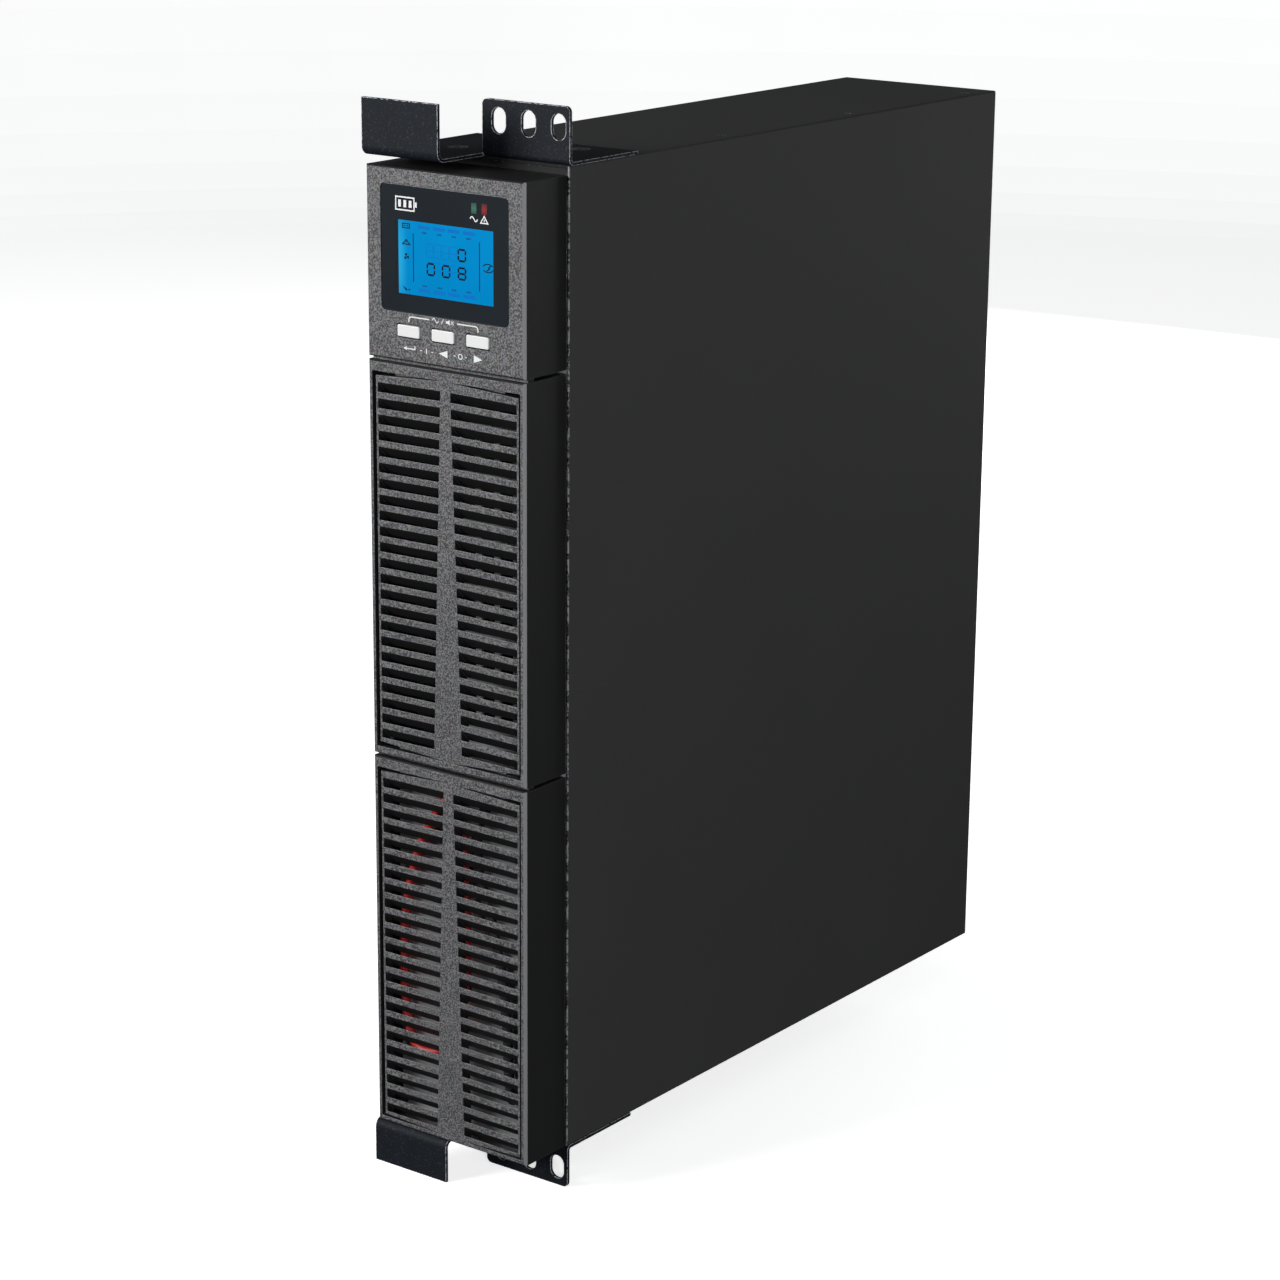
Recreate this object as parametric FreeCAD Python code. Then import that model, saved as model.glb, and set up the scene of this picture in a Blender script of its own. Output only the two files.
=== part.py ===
import FreeCAD, Part
import math
import os

# Two-unit rack and tower uninterruptible power supply, standing on its lower rack ear.
# X is the width, Y runs from the front to the back and Z is up. Shapes are drawn with
# X = 0 in the middle, Y = 0 on the bezel's front face and Z = 0 on the chassis's lower
# face, and export() moves them so that the origin is below the middle of the whole.

V = FreeCAD.Vector

# Overall sizes
chassis_width = 88.0
chassis_depth = 338.0
chassis_height = 438.0
bezel_depth = 28.0
ear_reach_upper = 24.4
ear_reach_lower = 20.2

# Sheet metal and general clearances
sheet = 1.2
ear_sheet = 1.5
cover_flange = 12.0
vent_hole = 7.0
vent_pitch = 10.4
vent_margin = 14.0
slide_gap = 0.3
shaft_gap = 0.05

# Bezel modules
bezel_side_inset = 1.0
bezel_top_inset = 3.7
bezel_bottom_inset = 0.2
bezel_wall = 2.2
module_gap = 1.6
gap_tongue_y = 3.0
gap_tongue_depth = 4.0
gap_tongue_clearance = 0.3
gap_tongue_side = 0.8
display_height = 81.6
lower_cover_height = 173.3
side_chamfer = 1.2
end_chamfer = 0.6
face_thickness = 2.5
lip_thickness = 3.0

# Grille panels inside the middle and lower covers
lip_side = 2.5
lip_top = 4.6
lip_bottom_middle = 3.4
lip_bottom_lower = 1.9
groove = 1.45
corner_drop = 2.1
corner_drop_lowest = 0.8
roof_drop = 0.8
louvre_depth = 5.7
louvre_slope = 1.0
slot_height = 4.2
slot_pitch = 7.0
slot_side_margin = 1.0
slot_top_margin = 4.3
slot_bottom_margin_middle = 4.7
slot_bottom_margin_lower = 3.0
spine_top = 5.3
spine_bottom = 15.4
panel_tab = 60.0

# Ball studs that hold the bezel modules
boss_radius = 2.5
stud_radius = 1.8
stud_length = 6.0
stud_inset = 4.0
stud_from_end = 6.0
boss_behind_panel = 0.8

# Display module
window_width = 69.2
window_height = 53.9
window_below_top = 6.9
window_radius = 2.5
window_thickness = 2.0
window_recess = 0.4
window_fit = 0.1
lcd_view_width = 53.0
lcd_view_height = 31.6
lcd_below_window_top = 14.8
lcd_offset = -0.4
lcd_rim = 3.2
lcd_mask_margin = 1.6
lcd_thickness = 2.8
holder_rim = 1.6
holder_depth = 3.6
led_width = 2.7
led_height = 4.4
led_below_window_top = 6.2
led_green_x = 15.9
led_red_x = 21.4
board_thickness = 1.6
display_board_y = 9.0
key_width = 12.1
key_height = 5.1
key_gap = 0.6
key_radius = 0.8
key_pitch = 18.8
key_offset = -0.7
key_above_bottom = 13.0
key_proud = 0.6
key_flange = 1.25
key_travel = 1.2
key_stem_radius = 1.5
key_stem_end = 2.6
lead_hole_z = 18.0

# Rack ears
ear_plate_end = 75.4
ear_split = -2.5
plain_flange_lead = 0.6
plain_bend_radius = 4.0
rack_flange_setback = 28.5
rack_bend_radius = 2.5
rack_corner_radius = 2.5
ear_slot_width = 7.5
ear_slot_length = 11.0
ear_slot_below_tip = 8.75
ear_slot_x = (6.35, 22.225, 38.1)
ear_screw_x = 22.0
ear_screw_rows = (36.0, 64.0)
ear_screw_length = 4.2
ear_screw_head = 4.2
ear_screw_shank = 2.0

# Chassis cover screws
cover_screw_head = 2.2
cover_screw_shank = 1.4
cover_screw_length = 4.0
cover_screw_shares = (0.35, 0.65, 0.95)

# Battery drawer and its three 12 V 9 Ah blocks
battery_length = 151.0
battery_width = 65.0
battery_height = 94.0
battery_count = 3
battery_terminal_height = 6.0
battery_gap = 0.5
drawer_sheet = 1.0
drawer_side_gap = 3.2
drawer_wall_below_strap = 8.0
drawer_face_y = 14.0
drawer_opening_gap = 0.6
drawer_end_gap = 1.5
divider_above_drawer = 1.8
cable_radius = 2.25
cable_y = 10.4
connector_x = 4.0
connector_size = 17.0
terminal_width = 6.3
terminal_thickness = 0.8
terminal_from_side = 9.0
terminal_from_end = 11.0
terminal_well = 2.0
lid_height = 13.0
lid_groove = 0.7
strap_height = 30.0

# Fan
fan_side_gap = 2.8
fan_depth = 25.0
fan_wall = 2.0
fan_corner_radius = 4.0
fan_hub_radius = 17.0
fan_base_thickness = 3.0
fan_strut_width = 3.2
fan_shaft_radius = 1.5
fan_shaft_end = 5.0
fan_blades = 7
fan_blade_chord = 18.0
fan_blade_thickness = 1.4
fan_blade_pitch = 38.0
fan_tip_gap = 1.5
fan_screw_head = 3.2
fan_screw_shank = 1.9

# Parts on the power board
fin_count = 9
fin_base = 4.0
fin_height = 26.0
fin_thickness = 1.4
capacitor_radius = 14.0
capacitor_height = 45.0
choke_radius = 15.0
choke_tube = 7.0
relay_size = (18.0, 26.0, 14.0)

# Wire guard over the fan
guard_wire = 1.0
guard_rings = 4
guard_foot = 1.2
guard_foot_radius = 4.2
guard_bar_y = 1.9
guard_ring_y = 3.0

# Fittings on the rear panel
flange_thickness = 2.0
outlet_width = 32.0
outlet_height = 26.0
outlet_rim = 2.5
outlet_rows = 3
outlet_x = 19.5
outlet_depth = 24.0
socket_depth = 17.0
inlet_body = (27.0, 19.6)
inlet_x = -16.0
breaker_x = 22.0
breaker_proud = 8.0
breaker_neck_radius = 5.0
breaker_button_radius = 3.2
serial_body = (19.0, 10.0)
serial_x = -17.0
usb_body = (12.0, 11.0)
usb_x = 20.0
network_body = (31.4, 13.6)
network_x = -14.0
network_pitch = 15.6
epo_body = (13.0, 10.5)
epo_x = 20.0
slot_cover_size = (72.0, 32.0)
slot_opening = (56.0, 24.0)
port_cover_size = (48.0, 24.0)
port_opening = (32.0, 16.0)
cover_x = -10.0
cover_screw_spread = 19.5
ground_x = 29.0
ground_stud_radius = 2.0

inner_x = chassis_width / 2 - sheet
bezel_x = chassis_width / 2 - bezel_side_inset
bezel_back = bezel_depth - slide_gap
rear_y = bezel_depth + chassis_depth
panel_y = rear_y - sheet
front_y = bezel_depth
front_inner_y = front_y + sheet
top_z = chassis_height
mid_z = chassis_height / 2

lower_bottom = bezel_bottom_inset
lower_top = lower_bottom + lower_cover_height
display_top = chassis_height - bezel_top_inset
display_bottom = display_top - display_height
middle_bottom = lower_top + module_gap
middle_top = display_bottom - module_gap

drawer_x = bezel_x - drawer_side_gap
battery_x0 = -drawer_x + drawer_sheet
drawer_bottom = lower_bottom + bezel_wall + drawer_opening_gap
drawer_top = lower_top - bezel_wall - drawer_end_gap
divider_z = drawer_top + divider_above_drawer
battery_step = battery_height + battery_terminal_height + battery_gap
pack_length = battery_count * battery_step
pack_front = front_inner_y + 3.0
drawer_back = pack_front + pack_length + 2.0

AXES = {"x": V(1, 0, 0), "y": V(0, 1, 0), "z": V(0, 0, 1)}
nodes = {}


def at(axis, a, b, t):
    """The point with plane coordinates a and b at height t along axis."""
    if axis == "x":
        return V(t, a, b)
    if axis == "y":
        return V(a, t, b)
    return V(a, b, t)


def block(x0, x1, y0, y1, z0, z1):
    """A box between two corners."""
    return Part.makeBox(x1 - x0, y1 - y0, z1 - z0, V(x0, y0, z0))


def rod(axis, a, b, radius, t0, t1):
    """A cylinder along axis."""
    return Part.makeCylinder(radius, t1 - t0, at(axis, a, b, t0), AXES[axis])


def prism(axis, outline, t0, t1):
    """A closed outline of (a, b) points, thick from t0 to t1 along axis."""
    wire = Part.makePolygon([at(axis, a, b, t0) for a, b in outline + outline[:1]])
    return Part.Face(wire).extrude(AXES[axis] * (t1 - t0))


def plate(axis, a0, a1, b0, b1, t0, t1, radius=0.0):
    """A rectangle thick from t0 to t1 along axis, with its four corners rounded."""
    r = min(radius, (a1 - a0) / 2, (b1 - b0) / 2)
    if r <= 0:
        return prism(axis, [(a0, b0), (a1, b0), (a1, b1), (a0, b1)], t0, t1)
    corners = [
        (a1 - r, b0 + r, -90),
        (a1 - r, b1 - r, 0),
        (a0 + r, b1 - r, 90),
        (a0 + r, b0 + r, 180),
    ]
    edges = []
    last = None
    first = None
    for ca, cb, start in corners:
        ends = []
        for turn in (0, 45, 90):
            angle = math.radians(start + turn)
            ends.append(at(axis, ca + r * math.cos(angle), cb + r * math.sin(angle), t0))
        if last is None:
            first = ends[0]
        elif last.distanceToPoint(ends[0]) > 1e-6:
            edges.append(Part.makeLine(last, ends[0]))
        edges.append(Part.Arc(*ends).toShape())
        last = ends[2]
    if last.distanceToPoint(first) > 1e-6:
        edges.append(Part.makeLine(last, first))
    return Part.Face(Part.Wire(edges)).extrude(AXES[axis] * (t1 - t0))


def centred(axis, a, b, wide, high, t0, t1, radius=0.0):
    """A plate given by its middle and its two sizes."""
    return plate(axis, a - wide / 2, a + wide / 2, b - high / 2, b + high / 2, t0, t1, radius)


def joined(shapes):
    """One solid from several that overlap or touch."""
    return shapes[0].fuse(shapes[1:]).removeSplitter()


def chamfered(shape, size, chosen):
    """The shape with the edges that chosen() accepts cut at 45 degrees."""
    return shape.makeChamfer(size, [e for e in shape.Edges if chosen(e)])


def near(value, target):
    return abs(value - target) < 1e-4


def middle_of(edge):
    return edge.valueAt((edge.FirstParameter + edge.LastParameter) / 2)


def rounded_side(shape, radius, x):
    """The shape with the long front-to-back edges at x rounded."""
    middle = (front_y + rear_y) / 2
    return shape.makeFillet(
        radius, [e for e in shape.Edges if near(middle_of(e).x, x) and near(middle_of(e).y, middle)]
    )


def bent_strip(x0, x1, y_front, y_back, z_base, z_tip, bend):
    """An L of ear steel: a foot on z_base from y_back forward, then a flange up to z_tip."""
    t = ear_sheet
    half = math.sqrt(0.5)
    cy = y_front + bend
    cz = z_base + bend

    def p(y, z):
        return V(x0, y, z)

    edges = [
        Part.makeLine(p(y_back, z_base), p(cy, z_base)),
        Part.Arc(p(cy, z_base), p(cy - bend * half, cz - bend * half), p(y_front, cz)).toShape(),
        Part.makeLine(p(y_front, cz), p(y_front, z_tip)),
        Part.makeLine(p(y_front, z_tip), p(y_front + t, z_tip)),
        Part.makeLine(p(y_front + t, z_tip), p(y_front + t, cz)),
        Part.Arc(
            p(y_front + t, cz),
            p(cy - (bend - t) * half, cz - (bend - t) * half),
            p(cy, z_base + t),
        ).toShape(),
        Part.makeLine(p(cy, z_base + t), p(y_back, z_base + t)),
        Part.makeLine(p(y_back, z_base + t), p(y_back, z_base)),
    ]
    return Part.Face(Part.Wire(edges)).extrude(V(x1 - x0, 0, 0))


def countersunk(axis, a, b, outer, inward, head, shank, length, recess):
    """A flush screw whose head lies at outer and whose shank points along inward."""
    sink = head - shank
    base = at(axis, a, b, outer)
    way = AXES[axis] * inward
    cone = Part.makeCone(head, shank, sink, base, way)
    body = Part.makeCylinder(shank, length - sink, base + way * sink, way)
    screw = cone.fuse(body).removeSplitter()
    if recess:
        screw = screw.cut(Part.makeCylinder(head * 0.35, sink * 0.7, base, way))
    return screw


def pan_screw(axis, a, b, seat, outward, head, shank, length):
    """A round-headed screw: its head stands off seat along outward, its shank points back."""
    base = at(axis, a, b, seat)
    way = AXES[axis] * outward
    rise = head * 0.6
    top = Part.makeCylinder(head, rise, base, way)
    rim = [e for e in top.Edges if near((middle_of(e) - base).dot(way), rise)]
    top = top.makeFillet(head * 0.3, rim)
    drive = Part.makeCylinder(head * 0.4, rise * 0.5, base + way * (rise * 0.5), way)
    body = Part.makeCylinder(shank, length, base - way * length, way)
    return top.fuse(body).removeSplitter().cut(drive)


def tube(points, radius):
    """A round cable along straight runs joined by the largest tangent arcs that fit."""
    edges = []
    start = points[0]
    for before, corner, after in zip(points, points[1:], points[2:]):
        way_in = (corner - before).normalize()
        way_out = (after - corner).normalize()
        turn = way_in.getAngle(way_out)
        reach = 0.45 * min((corner - before).Length, (after - corner).Length)
        a = corner - way_in * reach
        b = corner + way_out * reach
        bend = reach / math.tan(turn / 2)
        to_centre = (way_out - way_in).normalize()
        centre = corner + to_centre * (bend / math.cos(turn / 2))
        edges.append(Part.makeLine(start, a))
        edges.append(Part.Arc(a, centre - to_centre * bend, b).toShape())
        print("cable bend radius", round(bend, 1), "mm")
        start = b
    edges.append(Part.makeLine(start, points[-1]))
    path = Part.Wire(edges)
    first_way = (points[1] - points[0]).normalize()
    profile = Part.Wire(Part.makeCircle(radius, points[0], first_way))
    shape = path.makePipeShell([profile], True, False)
    print("cable volume ratio", round(shape.Volume / (math.pi * radius**2 * path.Length), 4))
    return shape


# ---- Chassis sheet metal ----------------------------------------------------------------

ear_screw_places = [(x, y) for x in (-ear_screw_x, ear_screw_x) for y in ear_screw_rows]


def ear_screw_set(recess=False):
    """Flush screws through the feet of both ears into the chassis walls."""
    screws = []
    for x, row in ear_screw_places:
        for outer, inward in ((top_z + ear_sheet, -1), (-ear_sheet, 1)):
            screws.append(
                countersunk(
                    "z", x, row, outer, inward, ear_screw_head, ear_screw_shank, ear_screw_length, recess
                )
            )
    return screws


def chassis_tray():
    """The U of the chassis: the left wall with the top and bottom folded from it."""
    left = -chassis_width / 2
    outer = block(left, inner_x, front_y, rear_y, 0, top_z)
    outer = rounded_side(outer, sheet * 0.9, left)
    hollow = block(left + sheet, inner_x + 1, front_y - 1, rear_y + 1, sheet, top_z - sheet)
    return outer.cut(hollow).cut(ear_screw_set()).cut(cover_screw_set())


def cover_screw_set(recess=False):
    """Flush screws at the top and bottom that hold the right cover to the tray."""
    screws = []
    x = inner_x - cover_flange / 2
    for share in cover_screw_shares:
        y = front_y + chassis_depth * share
        for outer, inward in ((top_z, -1), (0, 1)):
            screws.append(
                countersunk(
                    "z", x, y, outer, inward, cover_screw_head, cover_screw_shank, cover_screw_length, recess
                )
            )
    return screws


def side_cover():
    """The right wall, with two flanges tucked inside the tray."""
    right = chassis_width / 2
    panel = block(inner_x, right, front_y, rear_y, 0, top_z)
    panel = rounded_side(panel, sheet * 0.7, right)
    start = front_inner_y + 1.0
    end = panel_y - 1.0
    low = block(inner_x - cover_flange, inner_x, start, end, sheet, 2 * sheet)
    high = block(inner_x - cover_flange, inner_x, start, end, top_z - 2 * sheet, top_z - sheet)
    return joined([panel, low, high]).cut(cover_screw_set())


def front_vents():
    """A grid of square air holes behind the middle grille."""
    columns = int((2 * inner_x - vent_margin - vent_hole) / vent_pitch) + 1
    z_low = middle_bottom + vent_margin
    rows = int((middle_top - vent_margin - z_low - vent_hole) / vent_pitch) + 1
    holes = []
    for i in range(columns):
        x = (i - (columns - 1) / 2) * vent_pitch
        for j in range(rows):
            z = z_low + vent_hole / 2 + j * vent_pitch
            holes.append(centred("y", x, z, vent_hole, vent_hole, front_y - 1, front_inner_y + 1))
    return holes


def stud_places(bottom, top):
    """Middles of the four ball studs of a bezel module."""
    xs = (-(bezel_x - stud_inset), bezel_x - stud_inset)
    zs = (bottom + stud_from_end, top - stud_from_end)
    return [(x, z) for x in xs for z in zs]


def stud_holes(bottom, top, y0, y1):
    return [rod("y", x, z, stud_radius + 2 * slide_gap, y0, y1) for x, z in stud_places(bottom, top)]


def front_panel():
    """The bare steel front of the chassis, with the drawer opening, vents and stud holes."""
    panel = block(-inner_x, inner_x, front_y, front_inner_y, sheet, top_z - sheet)
    gap = drawer_opening_gap
    y0 = front_y - 1
    y1 = front_inner_y + 1
    opening = block(-drawer_x - gap, drawer_x + gap, y0, y1, drawer_bottom - gap, drawer_top + gap)
    lead_hole = centred("y", 0, display_bottom + lead_hole_z, 22.0, 9.0, y0, y1, 2.0)
    holes = [opening, lead_hole]
    holes += front_vents()
    holes += stud_holes(display_bottom, display_top, y0, y1)
    holes += stud_holes(middle_bottom, middle_top, y0, y1)
    return panel.cut(holes)


def bay_divider():
    """The shelf between the battery bay and the electronics, with a cable notch."""
    back = drawer_back + 4.0
    right = inner_x - cover_flange
    shelf = block(-inner_x, right, front_inner_y, back, divider_z, divider_z + sheet)
    lip = block(-inner_x, right, back - sheet, back, divider_z, divider_z + 9.0)
    notch = block(-12.0, 12.0, back - 14.0, back + 1, divider_z - 1, divider_z + 10.0)
    return joined([shelf, lip]).cut(notch)


def rack_ear(reach):
    """An upper ear: a plain flange level with the bezel and a slotted one at the chassis."""
    tip = top_z + reach
    left = -chassis_width / 2
    right = chassis_width / 2
    y0 = rack_flange_setback - 1
    y1 = rack_flange_setback + ear_sheet + 1
    plain = bent_strip(
        left, ear_split, -plain_flange_lead, ear_plate_end, top_z, tip, plain_bend_radius
    )
    racked = bent_strip(
        ear_split, right, rack_flange_setback, ear_plate_end, top_z, tip, rack_bend_radius
    )
    around = block(ear_split - 1, right + 1, y0, y1, mid_z, tip + 1)
    kept = plate("y", ear_split, right, mid_z - 1, tip, y0, y1, rack_corner_radius)
    racked = racked.cut(around.cut(kept))
    ear = joined([plain, racked])
    z = tip - ear_slot_below_tip
    slots = [
        centred("y", x, z, ear_slot_width, ear_slot_length, y0, y1, ear_slot_width / 2)
        for x in ear_slot_x
    ]
    return ear.cut(slots).cut(ear_screw_set())


# ---- Bezel ------------------------------------------------------------------------------


def module_shell(bottom, top, face):
    """A five-sided plastic box open at the back, with softened front edges."""
    shell = block(-bezel_x, bezel_x, 0, bezel_back, bottom, top)
    shell = chamfered(
        shell, side_chamfer, lambda e: near(middle_of(e).y, 0) and near(abs(middle_of(e).x), bezel_x)
    )
    shell = chamfered(
        shell,
        end_chamfer,
        lambda e: near(middle_of(e).y, 0)
        and (near(middle_of(e).z, bottom) or near(middle_of(e).z, top)),
    )
    inner = bezel_x - bezel_wall
    hollow = block(-inner, inner, face, bezel_back + 1, bottom + bezel_wall, top - bezel_wall)
    return shell.cut(hollow)


def studs(bottom, top, y_start, y_seat):
    """Bosses on the side walls from y_start back to y_seat, each ending in a ball stud."""
    solids = []
    for x, z in stud_places(bottom, top):
        solids.append(rod("y", x, z, boss_radius, y_start, y_seat))
        solids.append(rod("y", x, z, stud_radius, y_seat - 1, y_seat + stud_length))
    return solids


def cover_frame(bottom, top, lip_bottom, y_seat):
    """The outer frame of a grille cover: its walls, its front lip and its ball studs."""
    shell = module_shell(bottom, top, lip_thickness)
    low = bottom + max(lip_bottom, bezel_wall)
    mouth = block(-(bezel_x - lip_side), bezel_x - lip_side, -1, lip_thickness + 1, low, top - lip_top)
    return joined([shell.cut(mouth)] + studs(bottom, top, louvre_depth + boss_behind_panel, y_seat))


def gap_tongues():
    """Ribs on the ends of the middle cover that close the view through the module gaps."""
    half = bezel_x - gap_tongue_side
    reach = module_gap - gap_tongue_clearance
    y1 = gap_tongue_y + gap_tongue_depth
    return [
        block(-half, half, gap_tongue_y, y1, middle_top - bezel_wall / 2, middle_top + reach),
        block(-half, half, gap_tongue_y, y1, middle_bottom - reach, middle_bottom + bezel_wall / 2),
    ]


def grille_panel(bottom, top, lip_bottom, bottom_margin, low_drop):
    """The louvred panel: a shallow roof from a spine that widens downwards, with two
    columns of slots that slope down to the back."""
    half = bezel_x - lip_side - groove
    high = top - lip_top
    low = bottom + max(lip_bottom, bezel_wall)
    section = [
        (-half, roof_drop),
        (0, 0),
        (half, roof_drop),
        (half, louvre_depth),
        (-half, louvre_depth),
    ]
    roof = prism("z", section, low, high)
    outline = prism(
        "y",
        [
            (-half, low + low_drop),
            (0, low),
            (half, low + low_drop),
            (half, high - corner_drop),
            (0, high),
            (-half, high - corner_drop),
        ],
        -1, louvre_depth + 1,
    )
    panel = roof.common(outline)
    reach = half - slot_side_margin
    slot_high = high - slot_top_margin
    slot_low = low + bottom_margin
    count = int(round((slot_high - slot_low - slot_height) / slot_pitch)) + 1
    pitch = (slot_high - slot_low - slot_height) / (count - 1)
    y0 = -1.0
    y1 = louvre_depth + 1.0
    slots = []
    for i in range(count):
        z1 = slot_high - i * pitch
        z0 = z1 - slot_height
        outline = [
            (y0, z0 - y0 * louvre_slope),
            (y1, z0 - y1 * louvre_slope),
            (y1, z1 - y1 * louvre_slope),
            (y0, z1 - y0 * louvre_slope),
        ]
        down = (slot_high - (z0 + z1) / 2) / (slot_high - slot_low)
        spine = spine_top + (spine_bottom - spine_top) * down
        slots.append(prism("x", outline, spine / 2, reach))
        slots.append(prism("x", outline, -reach, -spine / 2))
    panel = panel.cut(slots)
    tab = panel_tab / 2
    y2 = lip_thickness + 2.0
    tabs = [block(-tab, tab, lip_thickness, y2, high - 1.5, top - bezel_wall)]
    if lip_bottom - bezel_wall > 0.5:
        tabs.append(block(-tab, tab, lip_thickness, y2, bottom + bezel_wall, low + 0.4))
    return joined([panel] + tabs)


window_top = display_top - window_below_top
window_z = window_top - window_height / 2
lcd_z = window_top - lcd_below_window_top - lcd_view_height / 2
led_z = window_top - led_below_window_top
key_z = display_bottom + key_above_bottom
key_xs = {
    "key_left": key_offset - key_pitch,
    "key_middle": key_offset,
    "key_right": key_offset + key_pitch,
}
holder_y = face_thickness


def display_bosses():
    """Room for the bosses of the display module."""
    places = stud_places(display_bottom, display_top)
    return [rod("y", x, z, boss_radius, 0, bezel_depth + 1) for x, z in places]


def display_housing():
    """The front of the display module, with its window seat and three key holes."""
    shell = module_shell(display_bottom, display_top, face_thickness)
    wide = window_width + 2 * window_fit
    high = window_height + 2 * window_fit
    corner = window_radius + window_fit
    holes = [centred("y", 0, window_z, wide, high, -1, face_thickness + 1, corner)]
    for x in key_xs.values():
        holes.append(
            centred(
                "y", x, key_z, key_width + 2 * key_gap, key_height + 2 * key_gap, -1, face_thickness + 1,
                key_radius + key_gap,
            )
        )
    return joined([shell.cut(holes)] + studs(display_bottom, display_top, face_thickness - 0.5, bezel_back))


def lcd_holder():
    """The dark frame behind the window, with the liquid-crystal opening and lamp holes."""
    wide = window_width + 2 * holder_rim
    high = window_height + 2 * holder_rim
    frame = centred("y", 0, window_z, wide, high, holder_y, holder_y + holder_depth, window_radius)
    glass = centred(
        "y", lcd_offset, lcd_z, lcd_view_width + 2 * lcd_rim, lcd_view_height + 2 * lcd_rim,
        holder_y + holder_depth - lcd_thickness, holder_y + holder_depth + 1,
    )
    view = centred(
        "y", lcd_offset, lcd_z, lcd_view_width + 2 * lcd_mask_margin, lcd_view_height + 2 * lcd_mask_margin,
        holder_y - 1, holder_y + holder_depth,
    )
    lamps = [
        centred("y", x, led_z, led_width, led_height, holder_y - 1, holder_y + holder_depth + 1)
        for x in (led_green_x, led_red_x)
    ]
    return frame.cut([glass, view] + lamps + display_bosses())


def lamp(x):
    """A small rectangular indicator behind the window."""
    return centred("y", x, led_z, led_width, led_height, holder_y + 0.2, display_board_y)


def lcd_glass():
    return centred(
        "y", lcd_offset, lcd_z, lcd_view_width + 2 * lcd_rim, lcd_view_height + 2 * lcd_rim,
        holder_y + holder_depth - lcd_thickness, holder_y + holder_depth,
    )


def display_board():
    """The circuit board behind the display, notched round the bosses."""
    half = bezel_x - bezel_wall - 2.0
    back = display_board_y + board_thickness
    board = block(-half, half, display_board_y, back, display_bottom + 4.0, display_top - 4.0)
    notches = [
        rod("y", x, z, boss_radius + 1.5, display_board_y - 1, display_board_y + 3)
        for x, z in stud_places(display_bottom, display_top)
    ]
    chips = [
        centred("y", 0, display_bottom + 28.0, 14.0, 14.0, back, back + 1.6),
        centred("y", 0, display_bottom + 52.0, 26.0, 7.0, back, back + 7.4),
    ]
    return joined([board.cut(notches)] + chips)


def key(x):
    """A key cap with a retaining flange and a stem towards its switch."""
    cap = centred("y", x, key_z, key_width, key_height, -key_proud, face_thickness + 1.0, key_radius)
    cap = cap.makeFillet(0.35, [e for e in cap.Edges if near(middle_of(e).y, -key_proud)])
    flange = centred(
        "y", x, key_z, key_width + 2 * key_flange, key_height + 2 * key_flange, face_thickness + slide_gap,
        face_thickness + 1.5,
    )
    stem = rod("y", x, key_z, key_stem_radius, face_thickness + 1.0, face_thickness + key_stem_end)
    return joined([cap, flange, stem])


def key_switches():
    """The three switch bodies on the display board."""
    front = face_thickness + key_stem_end + key_travel + 0.2
    return [centred("y", x, key_z, 6.0, 6.0, front, display_board_y, 0.5) for x in key_xs.values()]


def display_back_cover():
    """The back of the display module, with a hole for its lead."""
    half = bezel_x - bezel_wall - slide_gap
    y1 = bezel_back - 0.5
    low = display_bottom + bezel_wall + slide_gap
    high = display_top - bezel_wall - slide_gap
    back = block(-half, half, y1 - 2.0, y1, low, high)
    lead_hole = centred("y", 0, display_bottom + lead_hole_z, 20.0, 7.0, y1 - 3.0, y1 + 1, 2.0)
    return back.cut(display_bosses() + [lead_hole])


# ---- Battery drawer ---------------------------------------------------------------------

face_back = drawer_face_y + sheet
connector_z = drawer_top - 12.0
red_exit_x = connector_x - 3.6
black_exit_x = connector_x + 3.6
red_entry = (-10.0, drawer_top - 12.5)
black_entry = (26.0, drawer_bottom + 20.0)


def battery_drawer():
    """The sliding tray: its floor on the left, two walls, a face plate and a back wall."""
    left = -drawer_x
    s = drawer_sheet
    wall = battery_x0 + battery_width - drawer_wall_below_strap
    face = block(left, drawer_x, drawer_face_y, face_back, drawer_bottom, drawer_top)
    floor = block(left, left + s, face_back, drawer_back, drawer_bottom, drawer_top)
    low = block(left, wall, face_back, drawer_back, drawer_bottom, drawer_bottom + s)
    high = block(left, wall, face_back, drawer_back, drawer_top - s, drawer_top)
    back = block(left, wall, drawer_back - s, drawer_back, drawer_bottom, drawer_top)
    stiffener = block(drawer_x - s, drawer_x, face_back, face_back + 10.0, drawer_bottom, drawer_top)
    tray = joined([face, floor, low, high, back, stiffener])
    holes = stud_holes(lower_bottom, lower_top, drawer_face_y - 1, drawer_face_y + stud_length + 1)
    for x, z in (red_entry, black_entry):
        holes.append(rod("y", x, z, cable_radius, drawer_face_y - 1, face_back + 1))
    window_low = drawer_bottom + 62.0
    window_high = drawer_top - 30.0
    if window_high > window_low + 10.0:
        opening = plate(
            "y", -8.0, 1.0, window_low, window_high, drawer_face_y - 1, face_back + 1, 2.0
        )
        holes.append(opening)
    return tray.cut(holes)


def battery_z():
    return (drawer_bottom + drawer_top) / 2


def battery_front(index):
    """The Y of the case front of a battery, behind its terminals."""
    return pack_front + index * battery_step + battery_terminal_height


def terminal_places():
    """The X and the two Z of a battery's terminals."""
    z0 = battery_z() - battery_length / 2
    x = battery_x0 + battery_width - terminal_from_side
    return [(x, z0 + terminal_from_end), (x, z0 + battery_length - terminal_from_end)]


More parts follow.
